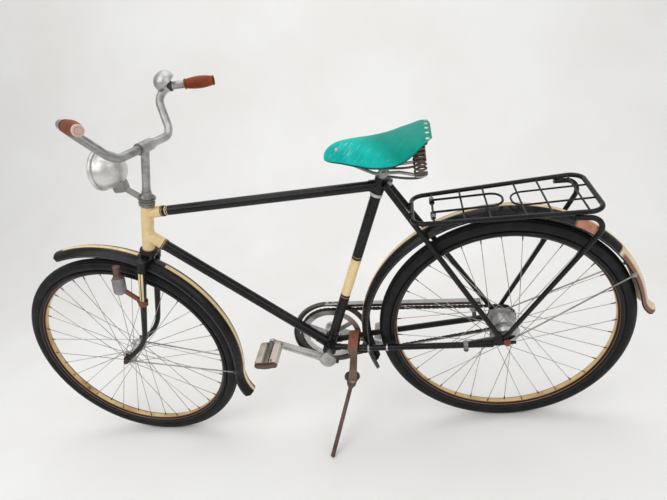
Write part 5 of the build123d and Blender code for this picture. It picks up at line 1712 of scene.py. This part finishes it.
@dataclass
class Fasteners:
    """Bolts with washers, crank caps, stay rings, the stand's knuckle and the carrier clip's coils."""

    geometry: Geometry
    workshop: Workshop
    frame_stance: Stance
    fork_stance: Stance
    bolt_r: float = 5.6
    bolt_h: float = 4.6
    washer_over: float = 2.2
    pinch_rise: float = 14.0
    pinch_back: float = 23.0
    pinch_y: float = 8.0
    saddle_bolt_y: float = 27.0
    brake_clip: Place = (-112.0, -60.5, 330.5)
    chain_guard_peg: float = 120.0
    chain_guard_tail: Flat = (-80.0, 30.0)
    chain_guard_y: float = 51.5
    front_stay_angle: float = -13.0
    rear_stay_angle: float = 26.0
    stay_inset: float = 2.0
    dynamo_bolt: Place = (259.0, 13.0, -44.0)
    cotter_y: float = 68.0
    cotter_reach: float = 18.0
    crank_cap_y: float = 77.0
    stay_root: Place = (-482.0, -19.0, 336.0)
    stay_knee: Place = (-387.0, -34.0, 337.0)
    stay_tip: Place = (-36.0, -60.5, 346.0)
    ring_share: float = 0.1
    ring_along: float = 46.0
    stand_clamp: Place = (74.0, 0.0, 14.0)
    stand_pivot: Place = (-464.0, -30.0, 214.0)
    stand_bend: Place = (-486.0, -27.0, 148.0)
    stand_bolt_y: float = -44.0
    knuckle_axis: Place = (0.22, -0.97, 0.1)
    clip_end: Place = (-169.0, 40.5, 765.0)
    clip_length: float = 15.0

    def frame_rows(self) -> list[Pair]:
        """Foot and direction of each bolt on the frame."""
        geo = self.geometry
        seat_back = Vector((geo.seat_up.z, 0, -geo.seat_up.x))
        pinch = geo.seat_top + geo.seat_up * self.pinch_rise + seat_back * self.pinch_back
        peg = geo.bracket + geo.seat_up * self.chain_guard_peg
        tail_x, tail_over = self.chain_guard_tail
        centre, crown_r = geo.rear_guard
        # The stand's clamp and pivot, the brake arm's clip, the chain guard's peg and its tail.
        rows = [
            (geo.bracket + Vector(self.stand_clamp), UPWARD),
            (Vector((self.stand_pivot[0], self.stand_bolt_y, self.stand_pivot[2])), -ACROSS),
            (Vector(self.brake_clip), -UPWARD),
            (Vector((peg.x, self.chain_guard_y, peg.z)), ACROSS),
            (Vector((tail_x, self.chain_guard_y, geo.wheel_r + tail_over)), ACROSS),
        ]
        for side in Side:
            out = side.out
            rows.append((pinch + out * self.pinch_y, out))
            rows.append((geo.saddle_clamp + out * self.saddle_bolt_y, out))
            rows.append((self.stay_end(centre, crown_r, self.rear_stay_angle, side), out))
        return rows

    def stay_end(self, centre: Vector, crown_r: float, angle: float, side: Side) -> Vector:
        """Place on a mudguard's edge where its stay ends."""
        reach = math.radians(angle)
        edge_r = crown_r - Mudguard.arch + self.stay_inset
        return centre + Vector((
            edge_r * math.cos(reach), side.value * Mudguard.half_w, edge_r * math.sin(reach),
        ))

    def fork_rows(self) -> list[Pair]:
        """Foot and direction of each bolt on the fork."""
        geo = self.geometry
        centre, crown_r = geo.front_guard
        rows = [(geo.on_steer(*self.dynamo_bolt), geo.steer_fore)]
        for side in Side:
            rows.append((self.stay_end(centre, crown_r, self.front_stay_angle, side), side.out))
        return rows

    def crank_rows(self) -> list[Pair]:
        """Foot and direction of the nut on each crank's cotter pin."""
        angle = math.radians(self.geometry.crank_angle)
        rows = []
        for side in Side:
            down = Vector((-math.sin(angle), 0, -math.cos(angle))) * -side.value
            foot = self.geometry.bracket + side.out * self.cotter_y + down * self.cotter_reach
            rows.append((foot, down))
        return rows

    def bolts(self, body: str, stance: Stance, rows: Sequence[Pair], finish: Material) -> None:
        """Builds one body's bolts."""
        washer_r = self.bolt_r + self.washer_over
        head = [
            (-2.0, washer_r), (0.8, washer_r), (0.9, self.bolt_r), (self.bolt_h - 0.8, self.bolt_r),
            (self.bolt_h, self.bolt_r - 1.2),
        ]
        part = turned("bolt", PLAIN, Vector(), UPWARD, head, 6).build([], sharp=20)
        source = self.workshop.points(
            [stance.at(place) for place, along in rows], [stance.along(along) for place, along in rows]
        )
        mount(self.workshop.scatter(f"{body}_bolts", part, source, finish), body)

    def crank_caps(self, finish: Material) -> None:
        """Builds the ringed cap on the boss of each crank."""
        rings = [
            (-9.0, 18.0), (-9.0, 23.0), (-7.5, 24.6), (-1.0, 24.6), (1.2, 23.4), (2.0, 21.6), (2.0, 19.0),
            (0.7, 18.0), (0.7, 14.2), (1.6, 13.4), (1.6, 10.8), (0.8, 10.0), (0.8, 5.4), (2.6, 4.6),
            (2.8, 1.5),
        ]
        for side in Side:
            start = self.geometry.bracket + side.out * self.crank_cap_y
            name = f"{side.label}_crank_cap"
            skin = turned(name, self.frame_stance, start, side.out, rings, 40)
            mount(skin.build([finish], sharp=35), "crank")

    def stay_rings(self, finish: Material) -> None:
        """Builds the two bright bands on the left chain stay."""
        root, knee, tip = Vector(self.stay_root), Vector(self.stay_knee), Vector(self.stay_tip)
        along = (tip - knee).normalized()
        band = [(0.0, 8.8), (0.0, 10.4), (1.0, 11.0), (4.5, 11.0), (5.5, 10.4), (5.5, 8.8)]
        rows = (
            (1, knee + (root - knee) * self.ring_share, knee - root),
            (2, knee + along * self.ring_along, along),
        )
        for number, start, direction in rows:
            skin = turned(f"stay_ring_{number}", self.frame_stance, start, direction, band, 32)
            mount(skin.build([finish], sharp=35), "frame")

    def lobes(self, finish: Material, knuckle: Material) -> None:
        """Builds the three discs of the stand's knuckle and the lobe under them."""
        pivot, bend = Vector(self.stand_pivot), Vector(self.stand_bend)
        disc = [
            (-9.0, 6.0), (-9.0, 12.5), (-7.5, 15.4), (-3.0, 17.0), (1.0, 17.0), (4.0, 15.4), (5.0, 12.5),
            (5.0, 6.0),
        ]
        axis = Vector(self.knuckle_axis)
        for number, place in enumerate(((-8, 0, 5), (7, 0, 5), (-2, 0, -8))):
            start = pivot + Vector(place)
            skin = turned(f"stand_knuckle_{number + 1}", self.frame_stance, start, axis, disc, 36)
            mount(skin.build([knuckle], sharp=35), "stand")
        lobe = [(10.0, 9.0), (15.0, 13.5), (22.0, 15.4), (30.0, 14.0), (38.0, 10.4), (46.0, 7.0)]
        skin = turned("stand_lobe", self.frame_stance, pivot, bend - pivot, lobe, 28)
        mount(skin.build([finish], sharp=35), "stand")

    def clip_coils(self, finish: Material) -> None:
        """Builds the coil at each end of the clip's pin."""
        x, y, z = self.clip_end
        places = [self.frame_stance.at((x, side.value * y, z)) for side in Side]
        alongs = [self.frame_stance.along(side.out) for side in Side]
        coils = self.workshop.coil_tree.bake(
            "clip_coils", self.workshop.points(places, alongs), Wire=1.3 * MM, Sides=8, Turns=5.0,
            Radius=5.2 * MM, Height=self.clip_length * MM, Material=finish,
        )
        mount(coils, "rack_clip")

    def build(self, wardrobe: Wardrobe) -> None:
        """Builds every small part."""
        self.bolts("frame", self.frame_stance, self.frame_rows(), wardrobe.steel)
        self.bolts("fork", self.fork_stance, self.fork_rows(), wardrobe.rusty)
        self.bolts("crank", self.frame_stance, self.crank_rows(), wardrobe.steel)
        self.clip_coils(wardrobe.steel)
        self.crank_caps(wardrobe.crank_steel)
        self.stay_rings(wardrobe.nickel)
        self.lobes(wardrobe.rusty, wardrobe.chain_steel)


class Wardrobe:
    """Every finish of the bicycle, and the marks painted or rusted on it."""

    def __init__(self, geometry: Geometry) -> None:
        """Builds each finish once.

        Args:
            geometry: Sizes and stances that the marks are placed by.
        """
        self.geometry = geometry
        self.frame_place = geometry.frame_stance()
        self.fork_place = geometry.fork_stance()
        self.paint = enamel("black_paint")
        (
            self.steel, self.bar_steel, self.crank_steel, self.polish, self.rusty, self.chain_steel,
            self.nickel, self.spoke_wire, self.nipple_brass, self.copper_line, self.rivet,
        ) = (Worn(name, tint(*base), tint(*second), *rest).build() for name, base, second, *rest in METALS)
        self.red_rust = Worn(
            "red_rust", tint(146, 86, 62), tint(120, 72, 56), metallic=0.1, roughness=0.7, rust=0.5,
            rust_low=tint(92, 58, 48), rust_high=tint(168, 104, 74),
        ).build()
        self.rim_flank = enamel("rim_flank", 0.3, 0.1, specular=0.22)
        self.rim_well = Worn(
            "rim_well", tint(214, 188, 134), tint(184, 146, 88), roughness=0.4, rust=0.25, grain=60.0
        ).build()
        self.tread = Tread().build()
        self.leather = Soft(
            "teal_leather", tint(16, 194, 182), tint(0, 170, 160), tint(122, 222, 210), roughness=0.46,
            wear=0.05, creases=38.0, scratch_turn=48.0, relief=0.0006, specular=0.1,
            marks=(
                # Painted shade: a darker teal over the top and back of the saddle.
                Mark(tint(0, 140, 124), (self.saddle_crown(),)),
                Mark(SEAM, (FlatSpan("Y", -1.0, 0.7, soft=0.3),)),
                Mark(SEAM, (FlatSpan("Y", 39.3, 41.0, soft=0.3),)),
                Mark(tint(70, 150, 138), (FlatSpan("X", 82.4, 86.0, soft=0.3),)),
            ),
        ).build()
        self.near_grip, self.far_grip = (
            Soft(
                name, tint(*base), tint(*second), tint(*worn), roughness=0.35, specular=0.15,
                marks=(Mark(tint(*end), (self.grip_end(side),)),),
            ).build()
            for name, side, base, second, worn, end in (
                ("red_brown_grip", Side.LEFT, (132, 70, 42), (102, 54, 36), (168, 108, 76), (208, 178, 166)),
                ("orange_brown_grip", Side.RIGHT, (150, 70, 32), (114, 52, 28), (176, 108, 66), (72, 50, 44)),
            )
        )
        self.pale_rubber = Soft(
            "pale_rubber", tint(204, 194, 180), tint(168, 156, 142), tint(104, 92, 84), roughness=0.7,
            wear=0.45,
        ).build()
        self.glass = Glass(self.fork_place.along(ACROSS)).build()

    def saddle_crown(self) -> Span:
        """Stretch over the top and back of the saddle, where painted shade darkens the leather."""
        place = self.frame_place
        rise = place.along(Vector((0.45, 0, 0.9)).normalized())
        return Span(place.at(self.geometry.saddle_clamp), rise, 60.0, 400.0, 20.0)

    def grip_end(self, side: Side) -> Span:
        """Stretch at the outer end of a grip."""
        place = self.geometry.bar_stance()
        tip, inward = Grips(self.geometry, place).ends(side)
        return Span(place.at(tip), place.along(inward), -9.0, -0.6)

    def along_seat(self, low: float, high: float) -> Span:
        """Stretch up the seat tube from the bracket."""
        geo = self.geometry
        return Span(self.frame_place.at(geo.bracket), self.frame_place.along(geo.seat_up), low, high)

    def head_paint(self) -> Material:
        """Cream head with gold rings at the ends of its sleeves and darker joints."""
        geo, place = self.geometry, self.frame_place
        down = geo.bracket - geo.down_joint
        joint, towards = place.at(geo.down_joint), place.along(down)
        top, back = place.at(geo.top_joint), place.along(BACKWARD)
        foot, up = place.at(geo.on_steer(geo.fork_length)), place.along(geo.steer_up)
        orange = tint(176, 132, 74)
        return Worn(
            "head_cream", CREAM, tint(226, 198, 144), roughness=0.32, rust=0.06, coat=0.3, grime=0.12,
            rust_low=tint(150, 98, 52), rust_high=tint(196, 140, 74),
            marks=(
                Mark(BLACK, (Span(joint, towards, 46, 60),)),
                Mark(orange, (Span(joint, towards, 48, 50.5),)),
                Mark(BLACK, (Span(top, back, 43, 60),)),
                Mark(orange, (Span(top, back, 45, 47.5),)),
                Mark(orange, (Span(foot, up, 1, 3.5), Span(top, back, -60, 17))),
            ),
        ).build()

    def seat_tube_paint(self) -> Material:
        """Black seat tube with a cream band between pinstripes."""
        rows = ((CREAM, 201.6, 326.9), (GOLD, 192, 194.5), (GOLD, 334, 336.5))
        marks = [Mark(colour, (self.along_seat(low, high),)) for colour, low, high in rows]
        return enamel("seat_tube_paint", marks=marks)

    def top_tube_paint(self) -> Material:
        """Black top tube with thin cream rings behind the head."""
        top, back = self.frame_place.at(self.geometry.top_joint), self.frame_place.along(BACKWARD)
        rings = [Mark(CREAM, (Span(top, back, low, high),)) for low, high in ((56, 58.5), (62, 63.5))]
        return enamel("top_tube_paint", 0.22, 0.05, rings)

    def seat_lug_paint(self) -> Material:
        """Black lug with a bare silver band at its foot."""
        return enamel("seat_lug_paint", 0.24, 0.1, [Mark(tint(190, 188, 184), (self.along_seat(527, 535),))])

    def blade_paint(self) -> Material:
        """Black blades with a long cream flash down the outside, split by a thin black line."""
        geo, place = self.geometry, self.fork_place
        foot, up, fore = place.at(geo.on_steer(0)), place.along(geo.steer_up), place.along(geo.steer_fore)
        marks = []
        for side in Side:
            outer = Span(foot, place.along(side.out), 44, 70)
            length = Span(foot, up, 268, 370, 2.0)
            marks.append(Mark(CREAM, (length, Span(foot, fore, -6.8, 6.8), outer)))
            marks.append(Mark(BLACK, (length, Span(foot, fore, -1.6, 1.2), outer)))
        return enamel("blade_paint", marks=marks)

    def guard_paint(
        self, name: str, stretches: Sequence[Flat], rusty: Sequence[Mark] = ()
    ) -> Material:
        """Black mudguard with a cream band along its crown, gold lines and a painted highlight on its rolled
        edge.

        Args:
            name: Name of the finish.
            stretches: Start and end of each length of band, along the mudguard.
            rusty: Marks of bare or rusted metal over the paint.

        Returns:
            The finish's material.
        """
        band = FlatSpan("Y", -1.0, 6.0, both=True)
        line = FlatSpan("Y", 7.3, 8.8, both=True)
        bead = FlatSpan("Y", 35.5, 39.0, both=True)
        striped = []
        for low, high in stretches:
            striped.append(Mark(tint(126, 84, 48), (line, FlatSpan("X", low, high))))
            striped.append(Mark(CREAM, (band, FlatSpan("X", low + 3, high))))
        # The pale grey-purple stripe over the rolled edge is a painted highlight.
        return enamel(name, 0.26, 0.08, [*striped, Mark(tint(104, 96, 104), (bead,), 0.4), *rusty])

    def chain_guard_paint(self) -> Material:
        """Worn dark guard with a bright top lip and a red lower line."""
        geo, place = self.geometry, self.frame_place
        ring_r, tail_rise = 121.0, 0.069
        top = place.at(geo.bracket + Vector((0, 0, ring_r)))
        normal = place.along((tail_rise, 0, 1))
        behind = Span(place.at(geo.bracket), place.along(BACKWARD), 0, 600)
        return Worn(
            "chain_guard_paint", tint(92, 86, 84), tint(66, 58, 54), metallic=0.3, roughness=0.5, rust=0.3,
            marks=(
                Mark(tint(176, 174, 172), (behind, Span(top, normal, -3.0, 9.0))),
                Mark(tint(120, 62, 46), (behind, Span(top, normal, -23.0, -16.5))),
            ),
        ).build()

    def cups_steel(self) -> Material:
        """Grey upper head cup, blackened lower one."""
        geo, place = self.geometry, self.frame_place
        low = Span(place.at(geo.on_steer(geo.fork_length)), place.along(geo.steer_up), -11.0, 40.0)
        return Worn(
            "cups_steel", *(tint(*tone) for tone in GREY), metallic=0.7, roughness=0.4, rust=0.12,
            marks=(Mark(tint(40, 36, 36), (low,)),),
        ).build()

    def dynamo_steel(self) -> Material:
        """Grey bottle with a rusty neck and roller."""
        geo, place = self.geometry, self.fork_place
        foot = place.at(geo.on_steer(289, fore=58, side=-63))
        neck = Span(foot, place.along((0.18, 0.08, 0.97)), 54.0, 110.0)
        return Worn(
            "dynamo_steel", tint(150, 149, 148), tint(124, 122, 122), metallic=0.5, roughness=0.45, rust=0.12,
            marks=(Mark(tint(108, 78, 70), (neck,)),),
        ).build()

    def pedal_steel(self) -> Material:
        """Grey pedal with brown outer ends."""
        place = self.frame_place
        ends = [Span(place.at((0, 0, 0)), place.along(side.out), 161.5, 220) for side in Side]
        return Worn(
            "pedal_steel", tint(140, 138, 134), tint(108, 102, 98), metallic=0.5, roughness=0.5, rust=0.25,
            marks=tuple(Mark(tint(104, 82, 72), (end,)) for end in ends),
        ).build()

    def stand_steel(self) -> Material:
        """Brown stand bracket with an orange clamp at the chain stays."""
        place = self.frame_place
        clamp = Span(place.at(self.geometry.bracket), place.along((0, 0, 1)), 12.0, 60.0, 2.0)
        return Worn(
            "stand_steel", tint(126, 106, 84), tint(96, 80, 64), metallic=0.3, roughness=0.6, rust=0.25,
            marks=(Mark(tint(158, 98, 76), (clamp,), 0.36),),
        ).build()

    def dress_all(self) -> None:
        """Puts the finishes on every node that keeps its own mesh."""
        rows = (
            (self.head_paint(), "head_tube"),
            (self.seat_tube_paint(), "seat_tube"),
            (self.top_tube_paint(), "top_tube"),
            (self.seat_lug_paint(), "seat_lug"),
            (self.blade_paint(), "fork_blades"),
            (self.chain_guard_paint(), "chain_guard"),
            (
                self.paint, "down_tube", "bottom_bracket", "rear_fork_ends", "chain_stays", "seat_stays",
                "fork_crown", "rack", "rack_stays", "rack_clip",
            ),
            (
                self.steel, "head_nuts", "seat_post", "brake_arm", "front_guard_stays", "rear_guard_stays",
                "saddle_frame", "lamp_bracket",
            ),
            (self.cups_steel(), "head_cups"),
            (self.dynamo_steel(), "dynamo"),
            (self.stand_steel(), "stand_bracket"),
            (self.bar_steel, "stem", "handlebar"),
            (self.crank_steel, "left_crank", "right_crank"),
            (self.rusty, "stand_leg", "saddle_cantle", "front_axle"),
            (self.pedal_steel(), "left_pedal", "right_pedal"),
            (self.red_rust, "dynamo_bracket", "rear_axle"),
            (self.nickel, "front_hub", "rear_hub"),
            (self.glass, "headlamp_glass"),
        )
        for finish, *names in rows:
            for name in names:
                materials = frame["nodes"][name].data.materials
                materials.clear()
                materials.append(finish)
                LOG.info("%s takes %s", name, finish.name)


def main() -> None:
    """Builds the studio, then each sub-assembly in order."""
    logging.basicConfig(level=logging.INFO, format="%(name)s: %(message)s")
    geometry = Geometry()
    frame_stance, fork_stance, bar_stance = (
        geometry.frame_stance(), geometry.fork_stance(), geometry.bar_stance()
    )
    Studio().build()
    wardrobe = Wardrobe(geometry)
    wardrobe.dress_all()
    workshop = Workshop()
    Wheel(
        geometry, workshop, "front", fork_stance, geometry.front_axle, flange_y=29.0, hole_r=20.5
    ).build(wardrobe)
    Wheel(
        geometry, workshop, "rear", frame_stance, geometry.rear_axle, flange_y=30.0, hole_r=38.0
    ).build(wardrobe)
    tail_from, tail_to = 1044.0, 1400.0
    bare = (
        Mark(tint(192, 132, 104), (
            FlatSpan("X", 900, 956, soft=6.0), FlatSpan("Y", -45, -6, soft=4.0),
        ), 0.38),
        Mark(tint(226, 204, 172), (
            FlatSpan("X", tail_from, tail_to, soft=4.0), FlatSpan("Y", -60, 60),
        ), 0.24),
        Mark(tint(134, 92, 74), (
            FlatSpan("X", tail_from + 12, tail_to, soft=8.0), FlatSpan("Y", -60, -25, soft=3.0),
        ), 0.24),
    )
    Mudguard(
        "front_mudguard", fork_stance, *geometry.front_guard, start_angle=105.0, end_angle=-14.3,
        flare_r=130.0, flare_angle=42.0, body="fork",
    ).build(wardrobe.guard_paint("front_guard_paint", ((24.0, 262.0), (340.0, 2000.0))))
    Mudguard(
        "rear_mudguard", frame_stance, *geometry.rear_guard, start_angle=198.0, end_angle=11.0,
        flare_r=53.0, flare_angle=45.0, body="frame",
    ).build(wardrobe.guard_paint("rear_guard_paint", ((10.0, 2000.0),), bare))
    Chain(geometry, workshop, frame_stance).build(wardrobe.chain_steel)
    Saddle(geometry, workshop, frame_stance).build(wardrobe)
    Lamp(geometry, fork_stance).build(wardrobe.polish)
    Bell(geometry, bar_stance).build(wardrobe.nickel, wardrobe.chain_steel)
    Grips(geometry, bar_stance).build(wardrobe.near_grip, wardrobe.far_grip)
    PedalRubbers(geometry, frame_stance).build(wardrobe.pale_rubber)
    Fasteners(geometry, workshop, frame_stance, fork_stance).build(wardrobe)


if __name__ == "__main__":
    main()
